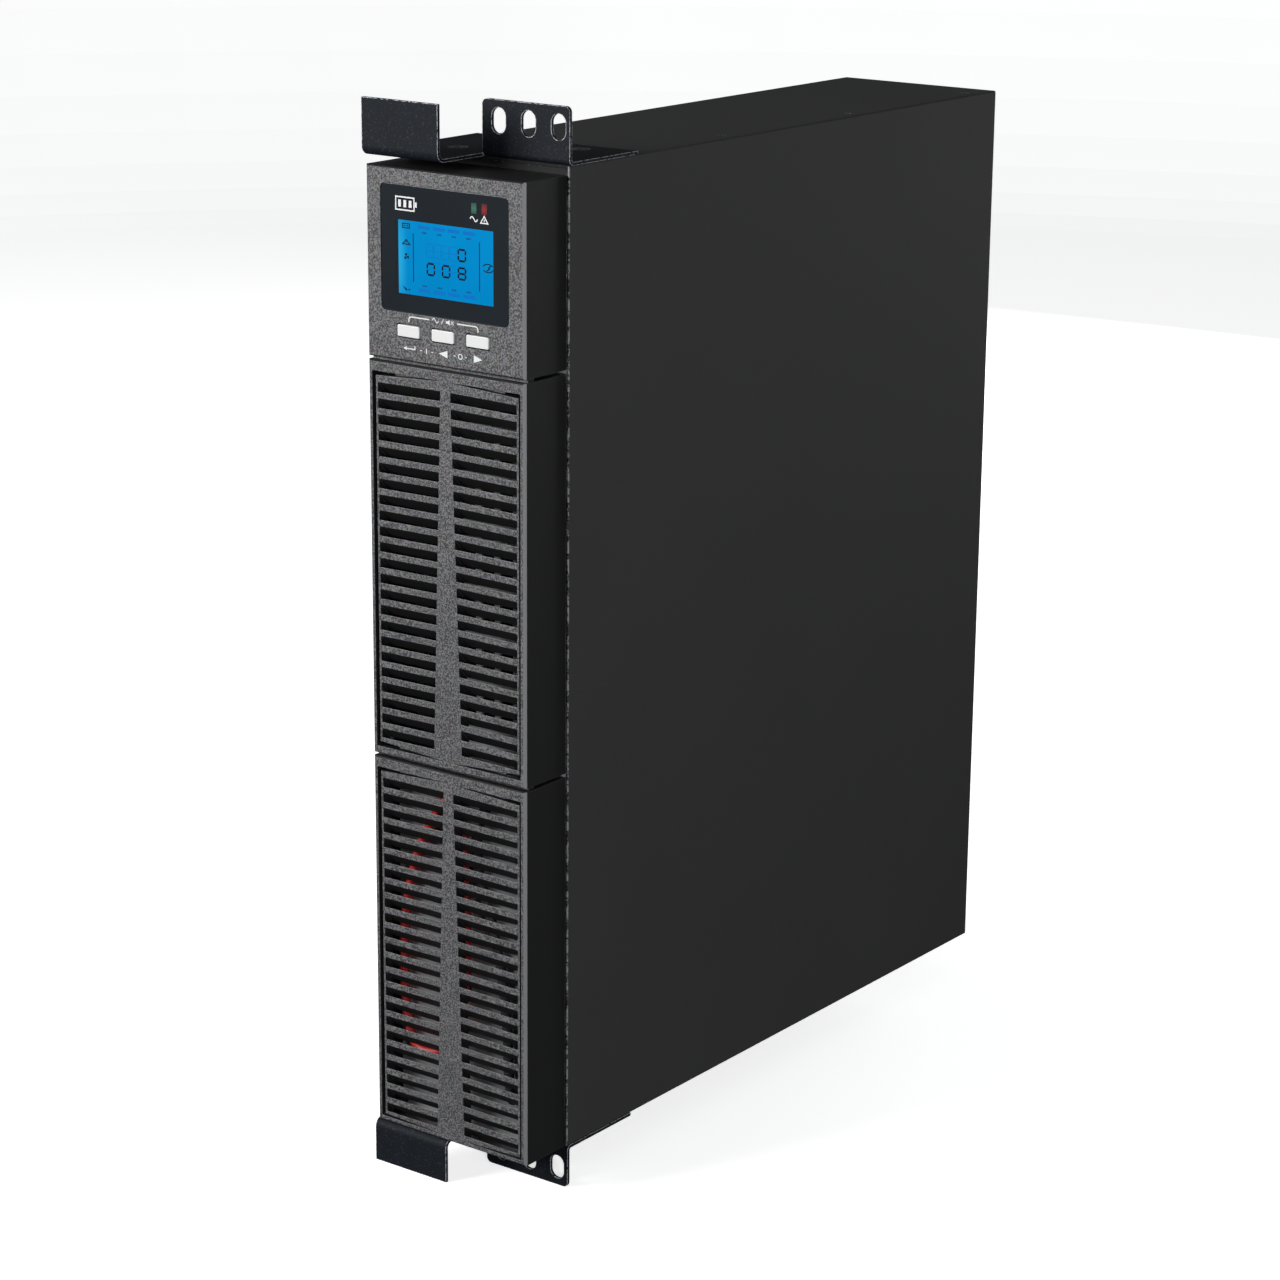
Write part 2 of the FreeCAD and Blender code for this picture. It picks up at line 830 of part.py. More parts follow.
def battery(index):
    """A sealed lead-acid block: its case, its lid line and two terminal wells."""
    y0 = battery_front(index)
    z0 = battery_z() - battery_length / 2
    x1 = battery_x0 + battery_width
    case = plate("y", battery_x0, x1, z0, z0 + battery_length, y0, y0 + battery_height, 1.5)
    z1 = z0 + battery_length
    lid_y = y0 + lid_height
    cut = lid_groove
    outer = plate("y", battery_x0 - 1, x1 + 1, z0 - 1, z1 + 1, lid_y, lid_y + lid_groove)
    inner = plate("y", battery_x0 + cut, x1 - cut, z0 + cut, z1 - cut, lid_y - 1, lid_y + 2)
    case = case.cut(outer.cut(inner))
    wells = [
        centred("y", x, z, 13.0, 16.0, y0 - 1, y0 + terminal_well) for x, z in terminal_places()
    ]
    return case.cut(wells)


def battery_terminals():
    """Two spade terminals on each battery."""
    blades = []
    for index in range(battery_count):
        y0 = battery_front(index)
        for x, z in terminal_places():
            blades.append(
                centred(
                    "y", x, z, terminal_width, terminal_thickness, y0 - battery_terminal_height + 1.5,
                    y0 + terminal_well,
                )
            )
    return blades


def battery_retainer():
    """A steel strap over the three batteries, with an ear at each end of each battery."""
    x0 = battery_x0 + battery_width
    z = battery_z()
    low = z - strap_height / 2
    high = z + strap_height / 2
    s = drawer_sheet
    strap = block(x0, x0 + s, battery_front(0), drawer_back, low, high)
    back = block(x0 - 12.0, x0, drawer_back - 2 * s, drawer_back - s, low, high)
    slots = [
        block(x0 - 1, x0 + 3, battery_front(i) + 30.0, battery_front(i) + 66.0, z - 8.0, z + 8.0)
        for i in range(battery_count)
    ]
    return joined([strap, back]).cut(slots)


red_route = [
    (red_exit_x, connector_z - 9.0),
    (red_exit_x, connector_z - 33.0),
    (red_exit_x + 1.4, connector_z - 72.0),
    (red_exit_x - 2.6, drawer_bottom + 48.0),
    (-12.0, drawer_bottom + 33.0),
    (-30.0, drawer_bottom + 31.0),
    (-35.2, drawer_bottom + 56.0),
    (-34.6, drawer_bottom + 98.0),
    (-25.0, drawer_bottom + 130.0),
    (-15.0, drawer_bottom + 147.0),
]
black_route = [
    (black_exit_x, connector_z - 9.0),
    (black_exit_x, connector_z - 30.0),
    (black_exit_x + 12.0, connector_z - 64.0),
    (black_exit_x + 16.6, connector_z - 96.0),
    (black_exit_x + 17.6, drawer_bottom + 30.0),
]


def battery_cable(route, entry):
    """A battery lead in front of the face plate that ends in the plate's grommet hole."""
    points = [V(x, cable_y, z) for x, z in route]
    points.append(V(entry[0], cable_y + 0.6, entry[1]))
    points.append(V(entry[0], face_back, entry[1]))
    return tube(points, cable_radius)


def battery_connector():
    """The two-pole battery plug, with a wire barrel for each lead."""
    y0 = cable_y - 4.2
    body = centred(
        "y", connector_x, connector_z + 1.0, connector_size, connector_size, y0, drawer_face_y, 1.5
    )
    barrels = [
        rod("z", x, cable_y, 3.4, connector_z - 9.0, connector_z - 7.0) for x in (red_exit_x, black_exit_x)
    ]
    grip = centred("y", connector_x, connector_z + 3.0, 5.0, 9.0, y0 - 1, y0 + 0.8)
    return joined([body] + barrels).cut(grip)


# ---- Electronics ------------------------------------------------------------------------

bay_low = divider_z + sheet
board_x = -inner_x + 6.0
board_front = front_inner_y + 26.0
board_back = panel_y - fan_depth - 8.0
board_low = bay_low + 5.0
board_high = top_z - sheet - 6.0
board_face = board_x + board_thickness
part_reach = inner_x - cover_flange - board_face


def bay_y(share):
    """A depth between the front and the back edge of the power board."""
    return board_front + (board_back - board_front) * share


def bay_z(share):
    """A height between the lower and the upper edge of the power board."""
    return board_low + (board_high - board_low) * share


def standoff_places():
    return [(bay_y(a), bay_z(b)) for a in (0.03, 0.5, 0.97) for b in (0.03, 0.97)]


def power_board():
    return block(board_x, board_face, board_front, board_back, board_low, board_high)


def heatsinks():
    """Two finned heat sinks that stand on the power board."""
    sinks = []
    for share in (0.24, 0.70):
        z = bay_z(share)
        y0 = bay_y(0.18)
        y1 = bay_y(0.62)
        x1 = board_face + part_reach
        solids = [block(board_face, x1, y0, y1, z, z + fin_base)]
        for i in range(fin_count):
            x = board_face + i * (x1 - board_face - fin_thickness) / (fin_count - 1)
            solids.append(block(x, x + fin_thickness, y0, y1, z + fin_base - 1, z + fin_height))
        sinks.append(joined(solids))
    return sinks


def bus_capacitors():
    """Four can capacitors on the power board."""
    end = board_face + capacitor_height
    cans = []
    for a in (0.72, 0.86):
        for b in (0.28, 0.44):
            can = rod("x", bay_y(a), bay_z(b), capacitor_radius, board_face, end)
            cans.append(can.makeFillet(1.2, [e for e in can.Edges if near(middle_of(e).x, end)]))
    return cans


def chokes():
    """Two ring chokes that lie on the power board."""
    rings = []
    for share in (0.12, 0.40):
        middle = V(board_face + choke_tube, bay_y(0.075), bay_z(share))
        rings.append(Part.makeTorus(choke_radius, choke_tube, middle, AXES["x"]))
    return rings


def relays():
    """Four relays on the power board."""
    deep, wide, high = relay_size
    return [
        block(board_face, board_face + deep, bay_y(a), bay_y(a) + wide, bay_z(b), bay_z(b) + high)
        for a in (0.68, 0.84)
        for b in (0.66, 0.76)
    ]


def control_board():
    """The control board, which stands on edge near the top of the power board."""
    z = bay_z(0.90)
    x1 = board_face + part_reach
    z1 = z + board_thickness
    chip_x = board_face + 22.0
    board = block(board_face + 6.0, x1, bay_y(0.15), bay_y(0.65), z, z1)
    header = block(board_face, board_face + 8.0, bay_y(0.25), bay_y(0.55), z - 1.5, z1 + 1.5)
    chip = block(chip_x, chip_x + 14.0, bay_y(0.3), bay_y(0.3) + 14.0, z1, z1 + 1.6)
    return joined([board, header, chip])


# ---- Rear fittings ----------------------------------------------------------------------

fan_size = 2 * (inner_x - fan_side_gap)
rear_rows = [
    ("fan", fan_size),
    ("slot", 34.0),
    ("serial", 13.0),
    ("network", 14.0),
    ("outlet_0", outlet_height),
    ("outlet_1", outlet_height),
    ("outlet_2", outlet_height),
    ("inlet", 24.0),
    ("port_cover", 24.0),
]
rear_space = top_z - 2 * sheet - 2.5 * sheet - sum(height for name, height in rear_rows)
rear_gap = rear_space / len(rear_rows)
row_z = {}
level = top_z - 3.5 * sheet
for row_name, row_height in rear_rows:
    row_z[row_name] = level - row_height / 2
    level -= row_height + rear_gap

fan_z = row_z["fan"]
fan_bore = fan_size / 2 - fan_wall
fan_screw_at = fan_size * 0.447


def hexagon(x, z, radius, turn):
    """The six corners of a nut, the first at turn degrees from X."""
    angles = [math.radians(60 * i + turn) for i in range(6)]
    return [(x + radius * math.cos(angle), z + radius * math.sin(angle)) for angle in angles]


def rear_fitting(x, z, wide, high, depth, rim):
    """A moulded fitting pushed through the rear panel up to its rim."""
    body = centred("y", x, z, wide, high, rear_y - depth, rear_y + 0.5, 1.0)
    flange = centred("y", x, z, wide + 2 * rim, high + 2 * rim, rear_y, rear_y + flange_thickness, 1.6)
    return joined([body, flange])


def outlet(x, z):
    """A three-pin outlet: a ring groove round a centre block with three slots."""
    shape = rear_fitting(x, z, outlet_body[0], outlet_body[1], outlet_depth, outlet_rim)
    face = rear_y + flange_thickness
    deep = face - socket_depth
    ring = centred("y", x, z, 24.6, 16.8, deep, face + 1, 3.0)
    core = centred("y", x, z, 18.6, 10.8, deep - 1, face + 2, 1.5)
    slots = [
        centred("y", x - 5.5, z - 1.2, 2.2, 4.4, deep, face + 1),
        centred("y", x + 5.5, z - 1.2, 2.2, 4.4, deep, face + 1),
        centred("y", x, z + 1.6, 2.2, 4.4, deep, face + 1),
    ]
    return shape.cut(ring.cut(core)).cut(slots)


outlet_body = (outlet_width - 2 * outlet_rim, outlet_height - 2 * outlet_rim)
outlet_places = [
    (x, row_z["outlet_%d" % i]) for i in range(outlet_rows) for x in (-outlet_x, outlet_x)
]


def ac_inlet():
    """The recessed mains inlet."""
    shape = rear_fitting(inlet_x, row_z["inlet"], inlet_body[0], inlet_body[1], 26.0, 2.4)
    face = rear_y + flange_thickness
    mouth = centred("y", inlet_x, row_z["inlet"], 24.2, 16.6, face - socket_depth, face + 1, 2.5)
    return shape.cut(mouth).cut(inlet_pin_set())


def inlet_pin_set():
    """Three flat pins inside the inlet."""
    z = row_z["inlet"]
    y0 = rear_y - 24.0
    y1 = rear_y - 2.0
    places = [(inlet_x - 7.0, z - 2.4), (inlet_x + 7.0, z - 2.4), (inlet_x, z + 3.6)]
    return [centred("y", px, pz, 2.0, 4.0, y0, y1, 0.6) for px, pz in places]


def breaker_body():
    """The resettable circuit breaker: a case inside and a threaded neck with its nut."""
    z = row_z["inlet"]
    case = centred("y", breaker_x, z, 16.0, 24.0, rear_y - 26.0, panel_y, 1.0)
    neck = rod("y", breaker_x, z, breaker_neck_radius, panel_y - 1, rear_y + 4.0)
    nut = prism("y", hexagon(breaker_x, z, 8.0, 30.0), rear_y, rear_y + 2.5)
    bore_radius = breaker_button_radius + shaft_gap
    bore = rod("y", breaker_x, z, bore_radius, rear_y - 16.0, rear_y + 5.0)
    return joined([case, neck, nut]).cut(bore)


def breaker_button():
    """The reset button, which stands out of the neck."""
    z = row_z["inlet"]
    end = rear_y + breaker_proud
    button = rod("y", breaker_x, z, breaker_button_radius, rear_y - 12.0, end)
    return button.makeFillet(0.8, [e for e in button.Edges if near(middle_of(e).y, end)])


def serial_port():
    """The nine-pin port: a flange, a D-shaped shell and two hexagonal jack posts."""
    z = row_z["serial"]
    flange = centred("y", serial_x, z, 30.8, 12.5, rear_y, rear_y + 0.8, 1.0)
    body = centred(
        "y", serial_x, z, serial_body[0], serial_body[1], rear_y - 10.0, rear_y + 0.4, 1.0
    )
    shell = prism(
        "y",
        [
            (serial_x - 8.4, z + 4.2), (serial_x - 7.2, z - 4.2),
            (serial_x + 7.2, z - 4.2), (serial_x + 8.4, z + 4.2),
        ],
        rear_y, rear_y + 5.8,
    )
    mouth = prism(
        "y",
        [
            (serial_x - 7.9, z + 3.7), (serial_x - 6.8, z - 3.7),
            (serial_x + 6.8, z - 3.7), (serial_x + 7.9, z + 3.7),
        ],
        rear_y + 4.2, rear_y + 6.0,
    )
    pins = []
    for i in range(5):
        pins.append(rod("y", serial_x + (i - 2) * 2.77, z + 1.4, 0.55, rear_y + 3.0, rear_y + 6.0))
    for i in range(4):
        pins.append(rod("y", serial_x + (i - 1.5) * 2.77, z - 1.4, 0.55, rear_y + 3.0, rear_y + 6.0))
    posts = [rod("y", serial_x + side * 12.5, z, 2.4, rear_y, rear_y + 4.8) for side in (-1, 1)]
    threads = [rod("y", serial_x + side * 12.5, z, 1.3, rear_y + 1.8, rear_y + 5.0) for side in (-1, 1)]
    return joined([flange, body, shell] + posts).cut([mouth] + pins + threads)


def usb_port():
    """The square USB socket with its tongue."""
    z = row_z["serial"]
    shell = centred("y", usb_x, z, usb_body[0], usb_body[1], rear_y - 14.0, rear_y + 0.8, 0.6)
    mouth = centred("y", usb_x, z, 8.4, 7.8, rear_y - 9.0, rear_y + 2.0, 0.8)
    tongue = centred("y", usb_x, z, 5.6, 3.2, rear_y - 10.0, rear_y - 0.6)
    return shell.cut(mouth.cut(tongue))


def network_ports():
    """A pair of eight-way jacks."""
    z = row_z["network"]
    wide, high = network_body
    shell = centred("y", network_x, z, wide, high, rear_y - 16.0, rear_y + 0.8, 0.6)
    mouths = []
    for x in (network_x - network_pitch / 2, network_x + network_pitch / 2):
        mouths.append(centred("y", x, z + 0.6, 11.8, 6.8, rear_y - 12.0, rear_y + 2.0))
        mouths.append(centred("y", x, z - 3.4, 4.2, 2.6, rear_y - 8.0, rear_y + 2.0))
    return shell.cut(mouths)


def epo_terminal():
    """The two-pole terminal for the emergency switch, with its plug left in."""
    z = row_z["network"]
    base = centred("y", epo_x, z, epo_body[0], epo_body[1], rear_y - 8.0, rear_y + 1.0, 0.6)
    plug = centred("y", epo_x, z, 11.0, 8.6, rear_y + 0.5, rear_y + 5.5, 0.4)
    holes = []
    for x in (epo_x - 2.6, epo_x + 2.6):
        holes.append(rod("y", x, z + 1.4, 1.3, rear_y + 4.5, rear_y + 6.0))
        holes.append(centred("y", x, z - 2.2, 2.6, 2.0, rear_y + 4.0, rear_y + 6.0))
    return joined([base, plug]).cut(holes)


def slot_cover():
    """The plate over the communication card slot."""
    z = row_z["slot"]
    wide, high = slot_cover_size
    cover = centred("y", 0, z, wide, high, rear_y, rear_y + sheet, 1.5)
    grip = centred("y", 0, z - 8.0, 22.0, 3.0, rear_y - 1, rear_y + 2, 1.5)
    return cover.cut([grip] + rear_screw_set())


def battery_port_cover():
    """The plate over the external battery port."""
    z = row_z["port_cover"]
    wide, high = port_cover_size
    cover = centred("y", cover_x, z, wide, high, rear_y, rear_y + sheet, 1.5)
    rib = centred("y", cover_x, z, 24.0, 12.0, rear_y + 0.6, rear_y + 2.6, 2.0)
    return joined([cover, rib]).cut(rear_screw_set())


def rear_screw_set():
    """Round-headed screws of the rear plates and of the rear panel's corners."""
    screws = []
    seat = rear_y + sheet
    slot_x = slot_cover_size[0] / 2 - 5.0
    for side in (-1, 1):
        cover_at = cover_x + side * cover_screw_spread
        screws.append(pan_screw("y", side * slot_x, row_z["slot"], seat, 1, 2.8, 1.5, 6.0))
        screws.append(pan_screw("y", cover_at, row_z["port_cover"], seat, 1, 2.4, 1.2, 6.0))
        screws.append(pan_screw("y", side * (inner_x - 6.0), sheet + 4.0, rear_y, 1, 2.4, 1.2, 6.0))
    return screws


def ground_screw():
    """The earth stud with its hexagonal nut and washer."""
    z = row_z["port_cover"]
    washer = rod("y", ground_x, z, 5.0, rear_y, rear_y + 0.9)
    nut = prism("y", hexagon(ground_x, z, 4.0, 0.0), rear_y + 0.8, rear_y + 4.0)
    stud = rod("y", ground_x, z, ground_stud_radius, rear_y - 7.0, rear_y + 6.5)
    return joined([washer, nut, stud])


def rear_panel():
    """The back of the chassis, with a cut-out for each fitting and folded edges."""
    panel = block(-inner_x, inner_x, panel_y, rear_y, sheet, top_z - sheet)
    fold_x = inner_x - cover_flange - 1.0
    low_fold = block(-inner_x, fold_x, panel_y - 9.0, panel_y, sheet, 2 * sheet)
    high_fold = block(-inner_x, fold_x, panel_y - 9.0, panel_y, top_z - 2 * sheet, top_z - sheet)
    panel = joined([panel, low_fold, high_fold])
    y0 = panel_y - 1
    y1 = rear_y + 1
    holes = [rod("y", 0, fan_z, fan_bore - 1.0, y0, y1)]
    for x, z in outlet_places:
        holes.append(centred("y", x, z, outlet_body[0], outlet_body[1], y0, y1, 1.0))
    cutouts = [
        (inlet_x, "inlet", inlet_body, 1.0),
        (serial_x, "serial", serial_body, 1.0),
        (usb_x, "serial", usb_body, 0.6),
        (network_x, "network", network_body, 0.6),
        (epo_x, "network", epo_body, 0.6),
        (0, "slot", slot_opening, 1.0),
        (cover_x, "port_cover", port_opening, 1.0),
    ]
    for x, row, size, corner in cutouts:
        holes.append(centred("y", x, row_z[row], size[0], size[1], y0, y1, corner))
    holes.append(rod("y", breaker_x, row_z["inlet"], breaker_neck_radius, y0, y1))
    holes.append(rod("y", ground_x, row_z["port_cover"], ground_stud_radius, y0, y1))
    return panel.cut(holes).cut(rear_screw_set()).cut(fan_screw_set())


# ---- Fan --------------------------------------------------------------------------------

fan_front = panel_y - fan_depth
fan_screw_places = [
    (side * fan_screw_at, fan_z + rise * fan_screw_at) for side in (-1, 1) for rise in (-1, 1)
]


def fan_screw_set():
    """Four round-headed screws through the guard, the panel and the fan frame."""
    seat = rear_y + guard_foot
    return [
        pan_screw("y", x, z, seat, 1, fan_screw_head, fan_screw_shank, 16.0)
        for x, z in fan_screw_places
    ]


def fan_frame():
    """The square frame with its bore, four struts, the motor base and the shaft."""
    base_back = fan_front + fan_base_thickness
    frame = centred("y", 0, fan_z, fan_size, fan_size, fan_front, panel_y, fan_corner_radius)
    frame = frame.cut(rod("y", 0, fan_z, fan_bore, fan_front - 1, panel_y + 1))
    base = rod("y", 0, fan_z, fan_hub_radius, fan_front, base_back)
    solids = [frame, base]
    half = fan_strut_width / 2
    for i in range(4):
        strut = block(fan_hub_radius - 2.0, fan_bore + 1.0, fan_front, base_back, -half, half)
        strut.rotate(V(0, 0, 0), V(0, 1, 0), 45.0 + 90.0 * i)
        strut.translate(V(0, 0, fan_z))
        solids.append(strut)
    solids.append(rod("y", 0, fan_z, fan_shaft_radius, fan_front + 2.0, panel_y - fan_shaft_end))
    return joined(solids).cut(fan_screw_set())


def fan_rotor():
    """The hub with its pitched blades, bored for the shaft."""
    y0 = fan_front + fan_base_thickness + 1.0
    y1 = panel_y - 3.0
    hub = rod("y", 0, fan_z, fan_hub_radius, y0, y1)
    hub = hub.makeFillet(1.5, [e for e in hub.Edges if near(middle_of(e).y, y1)])
    tip = fan_bore - fan_tip_gap
    mid = (y0 + y1) / 2
    chord = fan_blade_chord / 2
    thick = fan_blade_thickness / 2
    solids = [hub]
    for i in range(fan_blades):
        blade = block(fan_hub_radius - 1.5, tip, -chord, chord, -thick, thick)
        blade.rotate(V(0, 0, 0), V(1, 0, 0), fan_blade_pitch)
        blade.rotate(V(0, 0, 0), V(0, 1, 0), 360.0 / fan_blades * i)
        blade.translate(V(0, mid, fan_z))
        solids.append(blade)
    rotor = joined(solids)
    rotor = rotor.common(rod("y", 0, fan_z, tip, y0, y1))
    bore_end = panel_y - fan_shaft_end + 0.5
    return rotor.cut(rod("y", 0, fan_z, fan_shaft_radius + shaft_gap, y0 - 1, bore_end))


def fan_guard():
    """The wire guard: four rings on two crossed bars that reach the screws."""
    bar_y = rear_y + guard_bar_y
    foot_y = rear_y + guard_foot
    solids = []
    for i in range(guard_rings):
        radius = (i + 1) * (fan_bore - 2.0) / guard_rings
        middle = V(0, rear_y + guard_ring_y, fan_z)
        solids.append(Part.makeTorus(radius, guard_wire, middle, AXES["y"]))
    reach = fan_screw_at * math.sqrt(2)
    for angle in (45.0, 135.0):
        bar = Part.makeCylinder(guard_wire, 2 * reach, V(-reach, bar_y, 0), AXES["x"])
        bar.rotate(V(0, bar_y, 0), V(0, 1, 0), angle)
        bar.translate(V(0, 0, fan_z))
        solids.append(bar)
    for x, z in fan_screw_places:
        solids.append(rod("y", x, z, guard_foot_radius, rear_y, foot_y))
    holes = []
    for x, z in fan_screw_places:
        holes.append(rod("y", x, z, fan_screw_head + 0.2, foot_y, rear_y + 5.0))
        holes.append(rod("y", x, z, fan_screw_shank, rear_y - 1, rear_y + 5.0))
    return joined(solids).cut(holes)


# ---- Assembly ---------------------------------------------------------------------------


def mirrored(shape):
    """The shape turned over about the middle height."""
    return shape.mirror(V(0, 0, mid_z), V(0, 0, 1))


def build():
    """Every piece by its node name."""
    nodes["chassis_tray"] = chassis_tray()
    nodes["side_cover"] = side_cover()
    nodes["front_panel"] = front_panel()
    nodes["bay_divider"] = bay_divider()
    nodes["rear_panel"] = rear_panel()
    nodes["rack_ear_upper"] = rack_ear(ear_reach_upper)
    nodes["rack_ear_lower"] = mirrored(rack_ear(ear_reach_lower))
    nodes["ear_screws"] = Part.makeCompound(ear_screw_set(True))
    nodes["cover_screws"] = Part.makeCompound(cover_screw_set(True))
    nodes["rear_screws"] = Part.makeCompound(rear_screw_set())

    nodes["display_housing"] = display_housing()
    window_back = window_recess + window_thickness
    nodes["display_window"] = centred(
        "y", 0, window_z, window_width, window_height, window_recess, window_back, window_radius
    )
    nodes["lcd_holder"] = lcd_holder()
    nodes["lcd_glass"] = lcd_glass()
    nodes["led_green"] = lamp(led_green_x)
    nodes["led_red"] = lamp(led_red_x)
    nodes["display_board"] = display_board()
    nodes["key_switches"] = Part.makeCompound(key_switches())
    nodes["display_back_cover"] = display_back_cover()
    for name, x in key_xs.items():
        nodes[name] = key(x)

    middle_frame = cover_frame(middle_bottom, middle_top, lip_bottom_middle, bezel_back)
    nodes["middle_cover_frame"] = joined([middle_frame] + gap_tongues())
    nodes["middle_grille"] = grille_panel(
        middle_bottom, middle_top, lip_bottom_middle, slot_bottom_margin_middle, corner_drop
    )
    seat = drawer_face_y - slide_gap
    nodes["lower_cover_frame"] = cover_frame(lower_bottom, lower_top, lip_bottom_lower, seat)
    nodes["lower_grille"] = grille_panel(
        lower_bottom, lower_top, lip_bottom_lower, slot_bottom_margin_lower, corner_drop_lowest
    )

    nodes["battery_drawer"] = battery_drawer()
    for index in range(battery_count):
        nodes["battery_%d" % (index + 1)] = battery(index)
    nodes["battery_terminals"] = Part.makeCompound(battery_terminals())
    nodes["battery_retainer"] = battery_retainer()
    nodes["battery_cable_red"] = battery_cable(red_route, red_entry)
    nodes["battery_cable_black"] = battery_cable(black_route, black_entry)
    nodes["battery_connector"] = battery_connector()

    nodes["power_board"] = power_board()
    nodes["board_standoffs"] = Part.makeCompound(
        [rod("x", y, z, 3.0, -inner_x, board_x) for y, z in standoff_places()]
    )
    nodes["heatsinks"] = Part.makeCompound(heatsinks())
    nodes["bus_capacitors"] = Part.makeCompound(bus_capacitors())
    nodes["chokes"] = Part.makeCompound(chokes())
    nodes["relays"] = Part.makeCompound(relays())
    nodes["control_board"] = control_board()

    nodes["fan_frame"] = fan_frame()
    nodes["fan_rotor"] = fan_rotor()
    nodes["fan_guard"] = fan_guard()
    nodes["fan_screws"] = Part.makeCompound(fan_screw_set())

    nodes["ac_inlet"] = ac_inlet()
    nodes["inlet_pins"] = Part.makeCompound(inlet_pin_set())
    nodes["outlets"] = Part.makeCompound([outlet(x, z) for x, z in outlet_places])
    nodes["breaker_body"] = breaker_body()
    nodes["breaker_button"] = breaker_button()
    nodes["serial_port"] = serial_port()
    nodes["usb_port"] = usb_port()
    nodes["network_ports"] = network_ports()
    nodes["epo_terminal"] = epo_terminal()
    nodes["slot_cover"] = slot_cover()
    nodes["battery_port_cover"] = battery_port_cover()
    nodes["ground_screw"] = ground_screw()


def export():
    """Moves each piece to the origin below the middle of the whole and writes it."""
    os.makedirs("parts", exist_ok=True)
    shift = V(0, -(rear_y + breaker_proud - plain_flange_lead) / 2, ear_reach_lower)
    for name, shape in nodes.items():
        placed = shape.copy()
        placed.translate(shift)
        solids = len(placed.Solids)
        print(name, "solids", solids, "valid", placed.isValid(), "volume", round(placed.Volume))
        placed.exportStep("parts/%s.step" % name)


build()
export()
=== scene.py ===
import math

import bpy
import numpy as np
from mathutils import Matrix, Vector


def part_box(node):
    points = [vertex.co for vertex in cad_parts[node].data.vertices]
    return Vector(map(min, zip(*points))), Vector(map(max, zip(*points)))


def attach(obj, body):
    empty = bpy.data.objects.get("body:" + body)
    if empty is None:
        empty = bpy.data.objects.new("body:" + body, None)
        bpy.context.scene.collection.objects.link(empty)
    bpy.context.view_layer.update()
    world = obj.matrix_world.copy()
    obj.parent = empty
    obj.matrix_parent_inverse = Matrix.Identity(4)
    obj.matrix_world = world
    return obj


# Looks of a two-unit rack and tower uninterruptible power supply that stands on its lower
# rack ear. X is the width, the front faces -Y and Z is up, in metres.

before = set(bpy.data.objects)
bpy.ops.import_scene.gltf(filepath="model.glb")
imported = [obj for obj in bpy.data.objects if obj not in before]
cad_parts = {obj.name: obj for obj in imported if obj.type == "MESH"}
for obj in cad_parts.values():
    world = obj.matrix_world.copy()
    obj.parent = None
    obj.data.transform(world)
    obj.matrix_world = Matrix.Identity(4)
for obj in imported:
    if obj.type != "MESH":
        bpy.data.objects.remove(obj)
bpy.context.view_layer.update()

bl_info = {
    "name": "Tower power supply looks",
    "version": (1, 0, 0),
    "blender": (4, 5, 0),
    "location": "3D View > Sidebar > Power supply",
    "description": "Finishes, printed marks, display picture and stage for a tower power supply",
    "category": "Object",
}

MM = 0.001
DISPLAY_HALF_WIDTH = 26.5 * MM
DISPLAY_HALF_HEIGHT = 15.8 * MM
FLOOR_GLOW = 0.86
AIR_STRENGTH = 0.11

# Turns of the camera in radians: from the depth axis to the right, upwards and anticlockwise.
CAMERA_YAW = -0.6403
CAMERA_PITCH = -0.2787
CAMERA_ROLL = 0.0083

# Each light's name, place, target, width and height, and the setting that holds its power.
LIGHTS = (
    ("left_softbox", (-1.15, -1.80, 1.02), (0.0, -0.1, 0.26), 1.1, 0.9, "key_power"),
    ("right_strip", (1.25, -1.15, 0.42), (0.04, -0.18, 0.26), 0.10, 0.8, "strip_power"),
    ("top_softbox", (0.1, 0.0, 2.3), (0.0, 0.0, 0.0), 1.8, 1.8, "top_power"),
    ("back_softbox", (-0.15, 1.9, 0.30), (0.0, 0.1, 0.24), 1.2, 0.5, "back_power"),
)


# ---- Settings ---------------------------------------------------------------------------


def colour_setting(name, description, default):
    return bpy.props.FloatVectorProperty(
        name=name, description=description, subtype="COLOR", size=3, min=0.0, max=1.0, default=default
    )


def length_setting(name, description, default):
    return bpy.props.FloatProperty(
        name=name, description=description, unit="LENGTH", subtype="DISTANCE", min=0.0, default=default
    )


def share_setting(name, description, default, largest=1.0):
    return bpy.props.FloatProperty(
        name=name, description=description, subtype="FACTOR", min=0.0, max=largest, default=default
    )


class PSU_finish_settings(bpy.types.PropertyGroup):
    """Colours and grain of the outer finishes."""

    bezel: colour_setting("Bezel", "Charcoal of the moulded bezel", (0.080, 0.080, 0.0825))
    # Painted shade: a near-black copy of the bezel colour for the sides that face away from the light.
    bezel_side_shade: colour_setting("Bezel side", "Colour of the bezel's plain sides", (0.0062, 0.0062, 0.0064))
    paint: colour_setting("Chassis paint", "Black powder coat of the chassis", (0.044, 0.044, 0.044))
    ear: colour_setting("Ear paint", "Blue-black powder coat of the rack ears", (0.0042, 0.0060, 0.0088))
    key: colour_setting("Keys", "White of the three keys", (0.58, 0.58, 0.575))
    window: colour_setting("Window", "Dark print behind the display window", (0.0085, 0.0115, 0.015))
    backlight: colour_setting("Backlight", "Blue of the lit display", (0.0, 0.262, 0.63))
    grain: length_setting("Bezel grain", "Size of the moulded grain", 0.74 * MM)
    edge: length_setting("Edge radius", "Radius that softens moulded and cut edges", 0.35 * MM)
    wear: share_setting("Edge wear", "Share of the cut edges that is worn to bare metal", 0.5)


